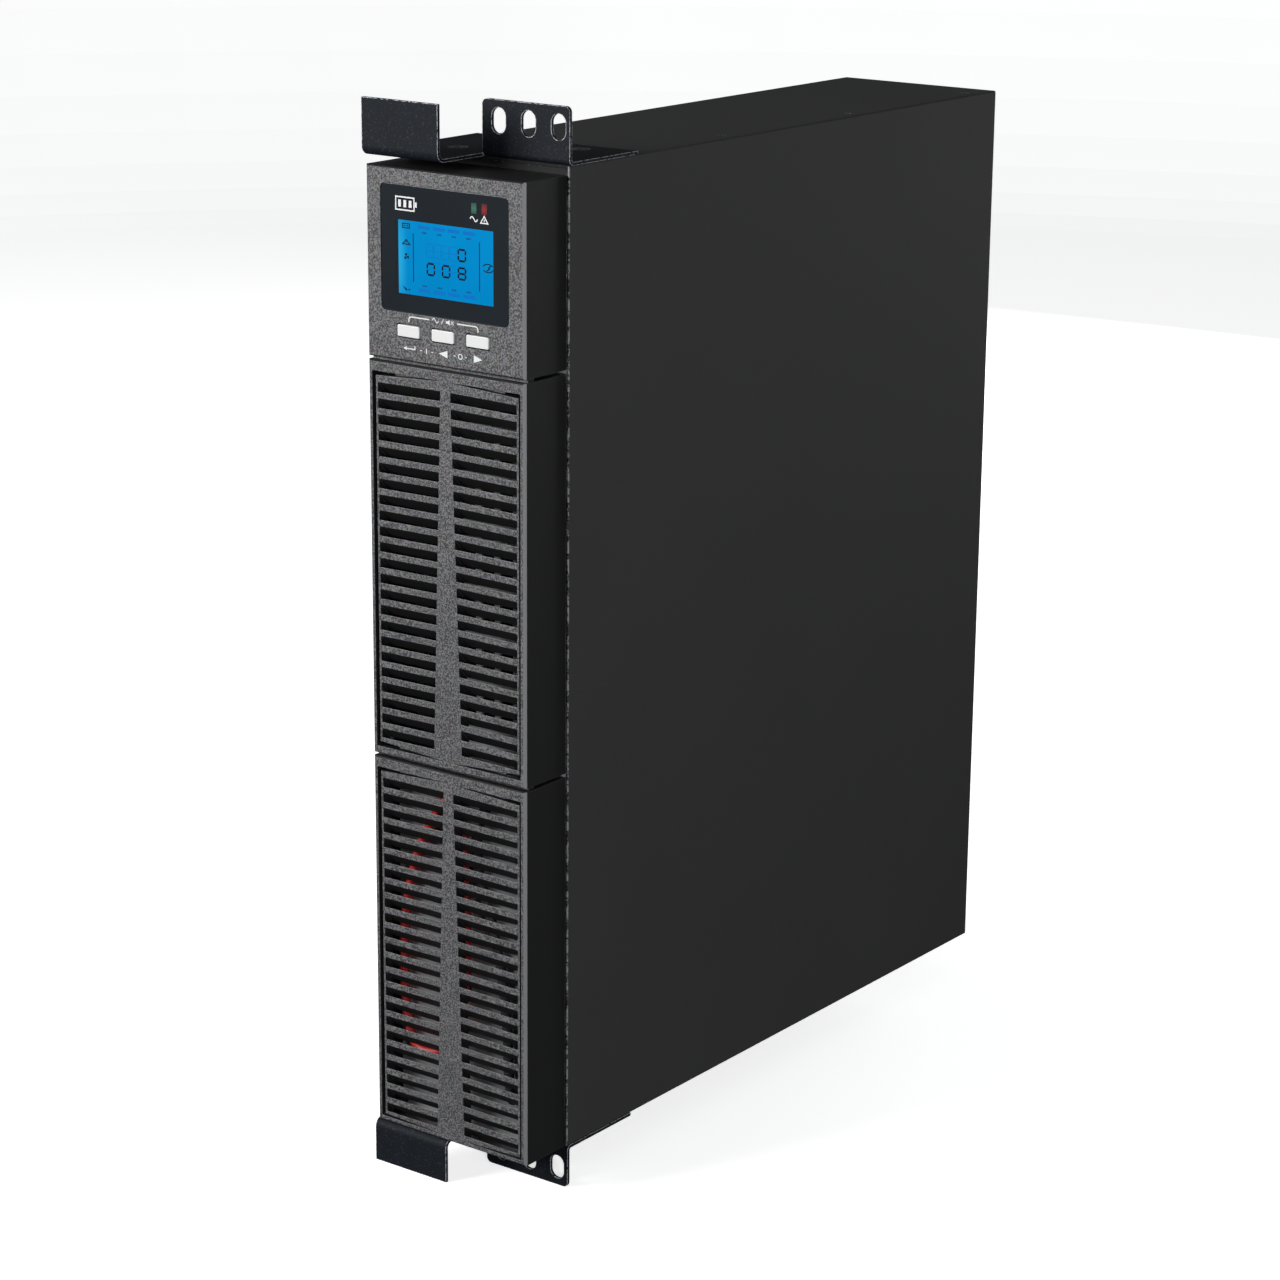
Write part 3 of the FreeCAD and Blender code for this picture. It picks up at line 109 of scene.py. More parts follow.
class PSU_print_settings(bpy.types.PropertyGroup):
    """Printed marks and the picture on the display."""

    ink: colour_setting("Ink", "White ink of the printed marks", (0.62, 0.62, 0.62))
    line: length_setting("Line width", "Width of the printed lines", 0.50 * MM)
    thickness: length_setting("Ink thickness", "Height of the ink above its surface", 0.03 * MM)
    digit_width: length_setting("Digit width", "Width of one digit", 4.7 * MM)
    digit_height: length_setting("Digit height", "Height of one digit", 5.6 * MM)
    segment: length_setting("Segment width", "Width of the bars of a digit", 0.86 * MM)


class PSU_stage_settings(bpy.types.PropertyGroup):
    """Camera, lights and floor."""

    camera_x: length_setting("Camera to the right", "Distance of the camera right of the middle", 0.9113)
    camera_y: length_setting("Camera in front", "Distance of the camera in front of the middle", 1.2713)
    camera_z: length_setting("Camera height", "Height of the camera", 0.6594)
    lens: bpy.props.FloatProperty(
        name="Lens", description="Focal length", unit="CAMERA", min=10.0, default=96.47
    )
    key_power: bpy.props.FloatProperty(
        name="Key light", description="Power of the large left softbox", unit="POWER", min=0.0, default=62.0
    )
    strip_power: bpy.props.FloatProperty(
        name="Strip light", description="Power of the narrow right strip", unit="POWER", min=0.0, default=12.5
    )
    top_power: bpy.props.FloatProperty(
        name="Top light", description="Power of the overhead softbox", unit="POWER", min=0.0, default=1.0
    )
    back_power: bpy.props.FloatProperty(
        name="Back light", description="Power of the rear softbox", unit="POWER", min=0.0, default=26.0
    )
    floor: colour_setting("Floor", "Pale floor", (0.86, 0.86, 0.86))


# ---- Shader maths -----------------------------------------------------------------------


class Wire:
    """An output socket of a finish. Arithmetic on it adds Math nodes."""

    def __init__(self, finish, socket):
        self.finish = finish
        self.socket = socket

    def maths(self, operation, *values):
        return self.finish.add("ShaderNodeMath", {"operation": operation}, dict(enumerate(values)))

    def __add__(self, other):
        return self.maths("ADD", self, other)

    def __radd__(self, other):
        return self.maths("ADD", other, self)

    def __sub__(self, other):
        return self.maths("SUBTRACT", self, other)

    def __rsub__(self, other):
        return self.maths("SUBTRACT", other, self)

    def __mul__(self, other):
        return self.maths("MULTIPLY", self, other)

    def __truediv__(self, other):
        return self.maths("DIVIDE", self, other)

    def __neg__(self):
        return self.maths("MULTIPLY", self, -1.0)

    def __abs__(self):
        return self.maths("ABSOLUTE", self)

    def most(self, other):
        return self.maths("MAXIMUM", self, other)

    def ramp(self, low, high):
        """0 below low, 1 above high and a smooth curve between them; high may be the lower."""
        settings = {"interpolation_type": "SMOOTHSTEP"}
        inputs = {"Value": self, "From Min": low, "From Max": high, "To Min": 0.0, "To Max": 1.0}
        return self.finish.add("ShaderNodeMapRange", settings, inputs)


class Finish:
    """A material under construction, with a Principled shader at its end."""

    def __init__(self, name):
        self.material = bpy.data.materials.new(name)
        self.material.use_nodes = True
        self.tree = self.material.node_tree
        self.tree.nodes.clear()

    def add(self, kind, settings=None, inputs=None, output=0):
        """One node with its settings and its sockets' values or links; returns one output's wire."""
        node = self.tree.nodes.new(kind)
        for key, value in (settings or {}).items():
            setattr(node, key, value)
        for key, value in (inputs or {}).items():
            socket = node.inputs[key]
            if isinstance(value, Wire):
                self.tree.links.new(value.socket, socket)
            else:
                socket.default_value = value
        return Wire(self, node.outputs[output]) if node.outputs else None

    def place(self):
        """Object coordinates, in metres."""
        return self.add("ShaderNodeTexCoord", output="Object")

    def axes(self, vector):
        """The X, Y and Z wires of a vector."""
        x = self.add("ShaderNodeSeparateXYZ", None, {"Vector": vector})
        outputs = x.socket.node.outputs
        return x, Wire(self, outputs[1]), Wire(self, outputs[2])

    def facing(self):
        """The X, Y and Z of the surface's own normal in object space."""
        return self.axes(self.add("ShaderNodeTexCoord", output="Normal"))

    def noise(self, size, detail=2.0, roughness=0.5, stretch=(1.0, 1.0, 1.0), output="Fac"):
        """Cloudy noise whose blobs are about size metres; stretch lengthens them along an axis."""
        scaled = self.stretched(stretch)
        inputs = {"Vector": scaled, "Scale": 1.0 / size, "Detail": detail, "Roughness": roughness}
        return self.add("ShaderNodeTexNoise", None, inputs, output)

    def stretched(self, stretch):
        """Object coordinates divided by the stretch along each axis."""
        factors = tuple(1.0 / s for s in stretch)
        inputs = {"Vector": self.place(), "Scale": factors}
        return self.add("ShaderNodeMapping", {"vector_type": "POINT"}, inputs)

    def cells(self, size):
        """Voronoi cells about size metres wide, each with its own random colour."""
        inputs = {"Vector": self.place(), "Scale": 1.0 / size}
        return self.add("ShaderNodeTexVoronoi", None, inputs, output="Color")

    def blend(self, factor, first, second, how="MIX"):
        """A colour mix: first at factor 0, second at 1."""
        settings = {"data_type": "RGBA", "blend_type": how}
        inputs = {0: factor, 6: self.colour(first), 7: self.colour(second)}
        return self.add("ShaderNodeMix", settings, inputs, output=2)

    def lightened(self, colour, level):
        """A colour times a varying level."""
        scale = {"operation": "SCALE"}
        return self.add("ShaderNodeVectorMath", scale, {0: colour, "Scale": level})

    def tinted(self, colour, tint):
        """A colour times a random tint whose mean is one half, brought back to the same mean."""
        doubled = self.add("ShaderNodeVectorMath", {"operation": "SCALE"}, {0: tint, "Scale": 2.0})
        return self.add("ShaderNodeVectorMath", {"operation": "MULTIPLY"}, {0: colour, 1: doubled})

    @staticmethod
    def colour(value):
        return value if isinstance(value, Wire) else (*value, 1.0)

    def softened(self, radius):
        """The normal with edges rounded over a radius."""
        return self.add("ShaderNodeBevel", {"samples": 6}, {"Radius": radius})

    def edge(self, radius):
        """0 on flats and rising towards 1 at edges, from how far a rounded normal leans."""
        lean = self.add(
            "ShaderNodeVectorMath",
            {"operation": "DOT_PRODUCT"},
            {0: self.softened(radius), 1: self.add("ShaderNodeNewGeometry", output="True Normal")},
            output="Value",
        )
        return (1.0 - lean).ramp(0.004, 0.12)

    def bump(self, height, depth, strength=1.0, normal=None):
        """A bump of a height from 0 to 1 that stands for a depth in metres."""
        inputs = {"Height": height, "Distance": depth, "Strength": strength}
        if normal is not None:
            inputs["Normal"] = normal
        return self.add("ShaderNodeBump", None, inputs)

    def shade(self, **sockets):
        """Ends the finish with a Principled shader, whose sockets have the short names below."""
        names = {
            "base": "Base Color",
            "rough": "Roughness",
            "metal": "Metallic",
            "normal": "Normal",
            "alpha": "Alpha",
            "glow": "Emission Color",
            "glow_strength": "Emission Strength",
            "gloss": "Specular IOR Level",
        }
        inputs = {}
        for key, value in sockets.items():
            if key in ("base", "glow"):
                value = self.colour(value)
            inputs[names[key]] = value
        shader = self.add("ShaderNodeBsdfPrincipled", None, inputs)
        self.add("ShaderNodeOutputMaterial", None, {"Surface": shader})
        return self.material


# ---- Finishes ---------------------------------------------------------------------------


def times(colour, factor, lift=0.0):
    """A colour with each channel multiplied by a factor and lifted, at most 1."""
    return tuple(min(1.0, factor * channel + lift) for channel in colour)


def bezel_finish(settings):
    """Moulded charcoal plastic: coarse grain of faintly coloured points in front, with the sides drawn
    near-black as painted shade and a painted highlight on the edges and chamfers.
    """
    f = Finish("moulded_bezel")
    x, y, _ = f.facing()
    # The front mask keeps the lit grey for faces that look forward; all other faces get painted shade.
    front = (-y).ramp(0.80, 0.95)
    points = f.noise(settings.grain, 3.0, 0.65)
    tint = f.noise(settings.grain * 0.9, 1.0, 0.5, output="Color")
    cloud = f.noise(18 * MM, 2.0)
    level = (points.ramp(0.41, 0.61) * 1.5 + 0.22) * (0.90 + cloud * 0.2)
    grey = f.lightened(tuple(settings.bezel), level)
    coloured = f.blend(0.5, grey, f.tinted(grey, tint))
    # Painted shade: the sides are the same plastic as the front, drawn in a near-black copy because they face
    # away from the light.
    side = f.blend(points.ramp(0.3, 0.8), times(settings.bezel_side_shade, 0.7), times(settings.bezel_side_shade, 1.5))
    base = f.blend(front, side, coloured)
    # Painted highlight: rounded edges and the chamfers between front and side are lightened to 2.5 times the
    # bezel colour.
    rim = f.edge(settings.edge)
    corner = (-y).ramp(0.5, 0.6) * abs(x).ramp(0.5, 0.6)
    base = f.blend((rim * 0.35).most(corner * 0.9), base, times(settings.bezel, 2.5))
    fine = f.noise(settings.grain * 0.45, 2.0, 0.6)
    height = points * 0.6 + fine * 0.4
    normal = f.bump(height, 0.10 * MM, 0.6, f.softened(settings.edge))
    rough = 0.50 + (points - 0.5) * 0.25
    return f.shade(base=base, rough=rough, gloss=0.38, normal=normal)


def chassis_finish(settings):
    """Matt black powder coat: orange-peel grain, a little dust in clouds, cut edges worn thin and faces that
    look forward darkened as painted shade.
    """
    f = Finish("black_powder_coat")
    peel = f.noise(0.9 * MM, 3.0, 0.6)
    cloud = f.noise(60 * MM, 3.0, 0.55)
    paint = f.blend(peel * 0.5 + cloud * 0.5, times(settings.paint, 0.85), times(settings.paint, 1.18))
    x, y, _ = f.axes(f.place())
    nx, ny, _ = f.facing()
    low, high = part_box("side_cover")
    at_front = y.ramp(low.y + 0.75 * MM, low.y + 0.55 * MM)
    at_side = abs(x).ramp(high.x - 0.65 * MM, high.x - 0.5 * MM)
    chips = f.noise(2.5 * MM, 4.0, 0.75)
    rim_worn = f.edge(0.5 * MM) * chips.ramp(0.66 - 0.16 * settings.wear, 0.68)
    front_worn = at_front * at_side * chips.ramp(0.60 - 0.30 * settings.wear, 0.54)
    worn = rim_worn.most(front_worn * (ny * -0.6 + abs(nx) * 0.9))
    # Painted shade: faces that look forward, such as the strip above the bezel, are darkened to a fifth of
    # the paint colour.
    paint = f.lightened(paint, 1.0 - (-ny).ramp(0.5, 0.9) * 0.8)
    base = f.blend(worn, paint, (0.42, 0.43, 0.45))
    rough = 0.66 + (cloud - 0.5) * 0.1
    normal = f.bump(peel, 0.025 * MM, 0.5, f.softened(0.45 * MM))
    return f.shade(base=base, rough=rough, metal=worn * 0.4, gloss=0.10, normal=normal)


def masked_panel_finish(settings):
    """Zinc sheet whose rim, left open by the painting mask, is powder coated black; that black is drawn far
    darker than the chassis paint, as painted shade under the rack ear.
    """
    f = Finish("masked_front_panel")
    low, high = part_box("front_panel")
    z = f.axes(f.place())[2]
    from_edge = (high.z - low.z) / 2 - abs(z - (low.z + high.z) / 2)
    wobble = (f.noise(6 * MM, 3.0) - 0.5) * 1.5 * MM
    painted = (from_edge + wobble).ramp(9.0 * MM, 8.0 * MM)
    lines = f.noise(0.35 * MM, 3.0, 0.6, (1.0, 1.0, 14.0))
    zinc = f.blend(lines, (0.36, 0.37, 0.38), (0.66, 0.67, 0.68))
    # Partly real paint, partly painted shade: the rim's black is 0.15 times the chassis paint colour, for the
    # shade under the rack ear.
    base = f.blend(painted, zinc, times(settings.paint, 0.15))
    rough = 0.38 + painted * 0.2
    normal = f.bump(lines, 0.01 * MM, 0.4, f.softened(0.25 * MM))
    return f.shade(base=base, rough=rough, metal=(1.0 - painted) * 0.45, gloss=0.15, normal=normal)


def ear_finish(settings):
    """Blue-black powder coat with specks, and cut edges that are chipped to bright steel."""
    f = Finish("ear_powder_coat")
    peel = f.noise(1.1 * MM, 3.0, 0.6)
    cloud = f.noise(14 * MM, 3.0, 0.6)
    paint = f.blend(cloud, times(settings.ear, 0.8), times(settings.ear, 1.35))
    speck = f.cells(0.42 * MM)
    chosen = f.axes(speck)[0].ramp(0.94, 0.97)
    hue = f.blend(f.axes(speck)[1], (0.10, 0.066, 0.045), (0.04, 0.065, 0.12))
    paint = f.blend(chosen * 0.34, paint, hue)
    chips = f.noise(2.2 * MM, 4.0, 0.75).ramp(0.52 - 0.24 * settings.wear, 0.52)
    worn = f.edge(0.6 * MM).ramp(0.02, 0.3) * chips
    base = f.blend(worn, paint, (0.50, 0.51, 0.54))
    normal = f.bump(peel, 0.04 * MM, 0.5, f.softened(0.35 * MM))
    return f.shade(base=base, rough=0.62 + (peel - 0.5) * 0.2, metal=worn * 0.4, gloss=0.12, normal=normal)


def steel_finish(name, colour, rough, along, metal=1.0):
    """Bare rolled steel: faint drawn lines along one axis, cloudy zinc and edges lightened as a painted
    highlight.
    """
    f = Finish(name)
    lines = f.noise(0.35 * MM, 3.0, 0.6, along)
    cloud = f.noise(16 * MM, 4.0, 0.6)
    base = f.blend(lines * 0.5 + cloud * 0.5, times(colour, 0.66), times(colour, 1.25))
    # Painted highlight: edges are blended towards near-white.
    base = f.blend(f.edge(0.3 * MM) * 0.4, base, (0.85, 0.85, 0.86))
    normal = f.bump(lines, 0.01 * MM, 0.4, f.softened(0.25 * MM))
    return f.shade(base=base, rough=rough + (cloud - 0.5) * 0.2, metal=metal, normal=normal)


def screw_finish():
    """Black-oxide screws: satin, with bright rubbed rims and recesses."""
    f = Finish("black_oxide_screw")
    cloud = f.noise(1.5 * MM, 3.0, 0.6)
    worn = f.edge(0.25 * MM) * f.noise(1.0 * MM, 3.0).ramp(0.42, 0.62)
    base = f.blend(worn, f.blend(cloud, (0.018, 0.018, 0.020), (0.045, 0.045, 0.05)), (0.5, 0.5, 0.52))
    normal = f.bump(cloud, 0.02 * MM, 0.4, f.softened(0.2 * MM))
    return f.shade(base=base, rough=0.34 + cloud * 0.15, metal=0.85, normal=normal)


def window_finish(settings):
    """Smoked acrylic: the print is solid round the display and clear in front of it."""
    f = Finish("display_window_acrylic")
    low, high = display_opening()
    x, _, z = f.axes(f.place())
    front = (-f.facing()[1]).ramp(0.3, 0.6)
    spare = 3.5 * MM
    beyond_x = abs(x - (low.x + high.x) / 2) - (high.x - low.x) / 2
    beyond_z = abs(z - (low.z + high.z) / 2) - (high.z - low.z) / 2
    beyond = beyond_x.most(beyond_z) - (1.0 - front) * spare
    solid = beyond.ramp(-0.05 * MM, 0.05 * MM)
    cloud = f.noise(30 * MM, 2.0)
    scuff = f.noise(0.6 * MM, 3.0, 0.7, (6.0, 1.0, 1.0)).ramp(0.66, 0.82)
    tone = f.blend(cloud, times(settings.window, 0.8), times(settings.window, 1.3))
    # Painted highlight: the window's edges are lightened towards grey.
    rim = f.edge(0.6 * MM)
    base = f.blend(rim * 0.55, tone, (0.10, 0.11, 0.12))
    rough = 0.16 + scuff * 0.12 + rim * 0.15
    normal = f.bump(f.noise(22 * MM, 1.0), 0.02 * MM, 0.3, f.softened(0.5 * MM))
    return f.shade(base=base, rough=rough, gloss=0.5, alpha=solid * 0.98 + 0.02, normal=normal)


def lcd_finish(settings):
    """The lit display: a blue backlight, brighter and greener by the lamp at its left edge."""
    f = Finish("lcd_backlight")
    low, high = display_opening()
    x, _, z = f.axes(f.place())
    share = (x - low.x) / (high.x - low.x)
    height = (z - low.z) / (high.z - low.z)
    lamp = (1.0 - share).ramp(0.91, 1.01) * (1.0 - abs(height - 0.45) * 1.2).ramp(0.0, 0.9)
    shade = f.noise(14 * MM, 2.0)
    blue = tuple(settings.backlight)
    upper = (0.002, blue[1] * 1.13, blue[2] * 1.08)
    base = f.blend(shade * 0.6 + height * 0.4, times(blue, 0.88), upper)
    base = f.blend(lamp * 0.75, base, (0.03, 0.46, 0.80))
    return f.shade(base=(0.0, 0.0, 0.001), rough=0.6, gloss=0.0, glow=base, glow_strength=1.0)


def ink_finish(name, colour, lit=False, gloss=0.4):
    """Printed ink: almost flat colour with the slight mottle of screen print.

    Lit ink is a tinted part of the backlight, so its own surface stays black.
    """
    f = Finish(name)
    mottle = f.noise(0.35 * MM, 2.0, 0.6)
    base = f.blend(mottle, times(colour, 0.86), times(colour, 1.06))
    surface = (0.0, 0.0, 0.0) if lit else base
    rough = 0.42 + mottle * 0.12
    normal = f.bump(mottle, 0.01 * MM, 0.3)
    return f.shade(
        base=surface, rough=rough, gloss=gloss, glow=base, glow_strength=float(lit), normal=normal
    )


def lamp_finish(name, dark, bright, low, high):
    """An unlit signal lamp behind its print: coloured, brighter in the middle of its height, with a faint
    painted glow of its own colour though it is unlit.
    """
    f = Finish(name)
    z = f.axes(f.place())[2]
    middle = 1.0 - abs((z - (low.z + high.z) / 2) / (high.z - low.z)) * 2.0
    grain = f.noise(0.5 * MM, 2.0)
    base = f.blend(middle * 0.7 + grain * 0.3, dark, bright)
    # Painted glow: the unlit lamp emits its own colour at strength 0.12.
    return f.shade(base=base, rough=0.25, glow=base, glow_strength=0.12, normal=f.bump(grain, 0.01 * MM, 0.3))


def key_finish(settings):
    """Glossy white key caps with fine moulding ripple; their skirts, which face away from the front, are
    drawn greyer as painted shade.
    """
    f = Finish("key_cap_plastic")
    ripple = f.noise(2.5 * MM, 2.0)
    # Painted shade: faces that turn away from the front are blended towards grey.
    side = (-f.facing()[1]).ramp(0.7, 0.2)
    base = f.blend(side * 0.45, tuple(settings.key), (0.32, 0.32, 0.33))
    base = f.blend(ripple * 0.12, base, (0.62, 0.62, 0.60))
    normal = f.bump(ripple, 0.02 * MM, 0.4, f.softened(0.45 * MM))
    return f.shade(base=base, rough=0.28 + ripple * 0.1, gloss=0.5, normal=normal)


def moulded_finish(name, colour, rough=0.45, grain=0.7 * MM, relief=0.02 * MM, gloss=0.45, edge=0.25 * MM):
    """Moulded plastic: a fine grain in colour and relief, clouds of wear and softened edges, which are
    lightened as a painted highlight.
    """
    f = Finish(name)
    fine = f.noise(grain, 3.0, 0.6)
    cloud = f.noise(22 * MM, 3.0, 0.6)
    level = fine * 0.55 + cloud * 0.45
    base = f.blend(level, times(colour, 0.72), times(colour, 1.32))
    # Painted highlight: edges are lightened to 2.2 times the colour.
    base = f.blend(f.edge(edge) * 0.18, base, times(colour, 2.2, 0.02))
    normal = f.bump(fine, relief, 0.5, f.softened(edge))
    return f.shade(base=base, rough=rough + (level - 0.5) * 0.2, gloss=gloss, normal=normal)


def board_finish():
    """Circuit board: green mask with lighter copper tracks in fine squares and tinned points."""
    f = Finish("circuit_board")
    tracks = f.add(
        "ShaderNodeTexVoronoi",
        {"feature": "DISTANCE_TO_EDGE", "distance": "EUCLIDEAN"},
        {"Vector": f.place(), "Scale": 1.0 / (4.5 * MM), "Randomness": 0.55},
    )
    line = tracks.ramp(0.07, 0.03)
    inputs = {"Vector": f.place(), "Scale": 1.0 / (3.2 * MM), "Randomness": 0.8}
    pads = f.add("ShaderNodeTexVoronoi", None, inputs)
    tin = pads.ramp(0.16, 0.12)
    mask = f.blend(f.noise(12 * MM, 2.0), (0.008, 0.055, 0.022), (0.014, 0.085, 0.035))
    base = f.blend(line * 0.6, mask, (0.03, 0.16, 0.06))
    base = f.blend(tin, base, (0.55, 0.54, 0.50))
    normal = f.bump(line * 0.4 + tin, 0.05 * MM, 0.6)
    return f.shade(base=base, rough=0.42 - tin * 0.15, metal=tin * 0.9, normal=normal)


def lead_finish(name, colour):
    """Silicone-covered battery lead: satin, with a soft dusty bloom and slight creases."""
    f = Finish(name)
    fine = f.noise(0.8 * MM, 3.0, 0.6)
    cloud = f.noise(9 * MM, 3.0, 0.6)
    base = f.blend(cloud * 0.6 + fine * 0.4, times(colour, 0.7), times(colour, 1.2, 0.01))
    return f.shade(base=base, rough=0.38 + fine * 0.2, gloss=0.5, normal=f.bump(fine, 0.03 * MM, 0.5))


def winding_finish():
    """Choke windings: copper turns as fine bands, with the gaps between them drawn dark as painted shade."""
    f = Finish("choke_winding")
    bands = f.add(
        "ShaderNodeTexWave",
        {"wave_type": "RINGS", "rings_direction": "X", "wave_profile": "SIN"},
        {"Vector": f.place(), "Scale": 1.0 / (2.2 * MM), "Distortion": 0.6, "Detail": 1.0},
        output="Fac",
    )
    # Painted shade: the gaps between turns are drawn near-black.
    base = f.blend(bands, (0.05, 0.018, 0.006), (0.50, 0.20, 0.07))
    return f.shade(base=base, rough=0.32, metal=bands * 0.8, normal=f.bump(bands, 0.3 * MM, 0.6))


def capacitor_finish():
    """Electrolytic capacitor: dark sleeve with a pale stripe side and a bare metal end."""
    f = Finish("capacitor_sleeve")
    nx, _, nz = f.facing()
    end = nx.ramp(0.7, 0.9)
    stripe = nz.ramp(0.80, 0.86) * (1.0 - end)
    fine = f.noise(1.2 * MM, 2.0)
    base = f.blend(fine, (0.012, 0.014, 0.03), (0.025, 0.028, 0.055))
    base = f.blend(stripe, base, (0.42, 0.43, 0.45))
    base = f.blend(end, base, (0.62, 0.62, 0.63))
    normal = f.bump(fine, 0.03 * MM, 0.4, f.softened(0.4 * MM))
    return f.shade(base=base, rough=0.36, metal=end * 0.95, normal=normal)


def finishes(settings):
    """Every material slot of the part with its finish."""
    return {
        "chassis_black": chassis_finish(settings),
        "ear_black": ear_finish(settings),
        "bare_steel": steel_finish("zinc_sheet", (0.60, 0.61, 0.62), 0.40, (1.0, 1.0, 14.0), 0.45),
        "screws": screw_finish(),
        "bezel": bezel_finish(settings),
        "window": window_finish(settings),
        "lcd": lcd_finish(settings),
        "led_green": moulded_finish("led_green_lens", (0.03, 0.16, 0.09), 0.22),
        "led_red": moulded_finish("led_red_lens", (0.28, 0.02, 0.02), 0.22),
        "keys": key_finish(settings),
        "dark_plastic": moulded_finish("dark_nylon", (0.018, 0.018, 0.019), 0.48),
        "board": board_finish(),
        "battery_case": moulded_finish("battery_case_abs", (0.035, 0.037, 0.040), 0.5, 0.9 * MM),
        "contact": steel_finish("tinned_contact", (0.72, 0.68, 0.58), 0.26, (1.0, 8.0, 1.0)),
        "cable_red": lead_finish("red_lead", (0.46, 0.012, 0.014)),
        "cable_black": lead_finish("black_lead", (0.014, 0.014, 0.015)),
        "heatsink": steel_finish("extruded_aluminium", (0.60, 0.61, 0.63), 0.42, (1.0, 1.0, 20.0)),
        "capacitor": capacitor_finish(),
        "choke": winding_finish(),
        "relay": moulded_finish("relay_case", (0.02, 0.045, 0.16), 0.35),
        "chrome_wire": steel_finish("chromed_wire", (0.78, 0.79, 0.80), 0.14, (1.0, 1.0, 1.0)),
        "connector_metal": steel_finish("nickel_shell", (0.70, 0.69, 0.66), 0.24, (6.0, 1.0, 1.0)),
        "terminal_green": moulded_finish("terminal_green_nylon", (0.02, 0.20, 0.07), 0.42),
    }


# ---- Shapes -----------------------------------------------------------------------------


def mesh_piece(name, vertices, faces, body, finish, slot=None):
    """A new piece from arrays of vertices and faces, on a CAD body."""
    mesh = bpy.data.meshes.new(name)
    mesh.from_pydata(np.asarray(vertices).tolist(), [], [list(map(int, face)) for face in faces])
    mesh.validate()
    mesh.materials.append(finish)
    piece = bpy.data.objects.new(name, mesh)
    bpy.context.scene.collection.objects.link(piece)
    if body:
        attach(piece, body)
    return piece


def ink_line(points, width, y_face, thickness):
    """A printed line: a rectangular profile carried along a path on the face plane.

    Each point is offset both ways by half the width along the mean of its two neighbouring
    normals, lengthened by one over the cosine of half the turn.
    """
    path = np.asarray(points, float)
    step = np.diff(path, axis=0)
    step /= np.linalg.norm(step, axis=1)[:, None]
    before = np.vstack([step[:1], step])
    after = np.vstack([step, step[-1:]])
    closed = np.allclose(path[0], path[-1])
    if closed:
        before[0], after[-1] = step[-1], step[0]
    mean = before + after
    mean /= np.linalg.norm(mean, axis=1)[:, None]
    stretch = 1.0 / np.clip((mean * before).sum(1), 0.35, 1.0)
    side = np.stack([-mean[:, 1], mean[:, 0]], 1) * (stretch * width / 2)[:, None]
    left, right = path + side, path - side
    return swept_ring(left, right, y_face, thickness)


def swept_ring(left, right, y_face, thickness):
    """Joins two rails of points (x, z) into a closed bar with a front and a back face."""
    count = len(left)
    front, back = y_face - thickness, y_face - 0.1 * thickness
    rails = [(right, front), (left, front), (left, back), (right, back)]
    corners = np.stack([np.stack([r[:, 0], np.full(count, y), r[:, 1]], 1) for r, y in rails], 1)
    index = np.arange(count * 4).reshape(count, 4)
    a, b = index[:-1], index[1:]
    quads = np.stack([a, np.roll(a, -1, 1), np.roll(b, -1, 1), b], 2).reshape(-1, 4)
    ends = [index[0][::-1], index[-1]]
    return corners.reshape(-1, 3), [*quads, *ends]


def ink_patch(outline, y_face, thickness):
    """A printed patch: an outline on the face plane given two depths, with its two ends filled."""
    ring = np.asarray(outline, float)
    area = np.sum(ring[:, 0] * np.roll(ring[:, 1], -1) - np.roll(ring[:, 0], -1) * ring[:, 1])
    if area < 0:
        ring = ring[::-1]
    count = len(ring)
    front, back = y_face - thickness, y_face - 0.1 * thickness
    vertices = np.vstack([np.insert(ring, 1, front, 1), np.insert(ring, 1, back, 1)])
    a = np.arange(count)
    b = np.roll(a, -1)
    walls = np.stack([b, a, a + count, b + count], 1)
    return vertices, [list(a), list(a[::-1] + count), *walls.tolist()]


def gathered(parts):
    """Several vertex and face lists as one."""
    vertices, faces, start = [], [], 0
    for points, rings in parts:
        vertices.append(points)
        faces += [[int(i) + start for i in ring] for ring in rings]
        start += len(points)
    return np.vstack(vertices), faces


def arc(centre, radius, first, last, count=16, squash=1.0):
    """Points on an ellipse from one angle to another, in degrees, anticlockwise from +X."""
    angle = np.radians(np.linspace(first, last, count))
    return np.stack([centre[0] + radius * np.cos(angle), centre[1] + radius * squash * np.sin(angle)], 1)


def box_outline(x0, x1, z0, z1):
    return [(x0, z0), (x1, z0), (x1, z1), (x0, z1)]


def around(x, z, points):
    """Points in metres from points in millimetres round x, z."""
    return [(x + px * MM, z + pz * MM) for px, pz in points]


def sine(x, z, reach, swing, count):
    """One period of a sine that starts upwards, with its middle at x, z."""
    share = np.linspace(-1.0, 1.0, count)
    return np.stack([x + share * reach, z - np.sin(share * math.pi) * swing], 1)


def middle_of(node):
    """The middle of a node's box."""
    low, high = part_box(node)
    return (low + high) / 2


def display_opening():
    """The lower left and upper right corners of the window's clear part, before the display."""
    low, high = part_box("display_window")
    centre = middle_of("lcd_glass")
    return (
        Vector((centre.x - DISPLAY_HALF_WIDTH, low.y, centre.z - DISPLAY_HALF_HEIGHT)),
        Vector((centre.x + DISPLAY_HALF_WIDTH, high.y, centre.z + DISPLAY_HALF_HEIGHT)),
    )


# ---- Operators --------------------------------------------------------------------------


class PSU_OT_finishes(bpy.types.Operator):
    """Gives every carried-over node the finish of its material slot"""

    bl_idname = "psu.finishes"
    bl_label = "Finishes"

    def execute(self, context):
        made = finishes(context.scene.psu_finish)
        for name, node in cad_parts.items():
            slot = node.data.materials[0].name.split(".")[0] if node.data.materials else None
            if slot not in made:
                raise RuntimeError(f"node {name} has no finish for slot {slot}")
            node.data.materials[0] = made[slot]
        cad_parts["front_panel"].data.materials[0] = masked_panel_finish(context.scene.psu_finish)
        return {"FINISHED"}


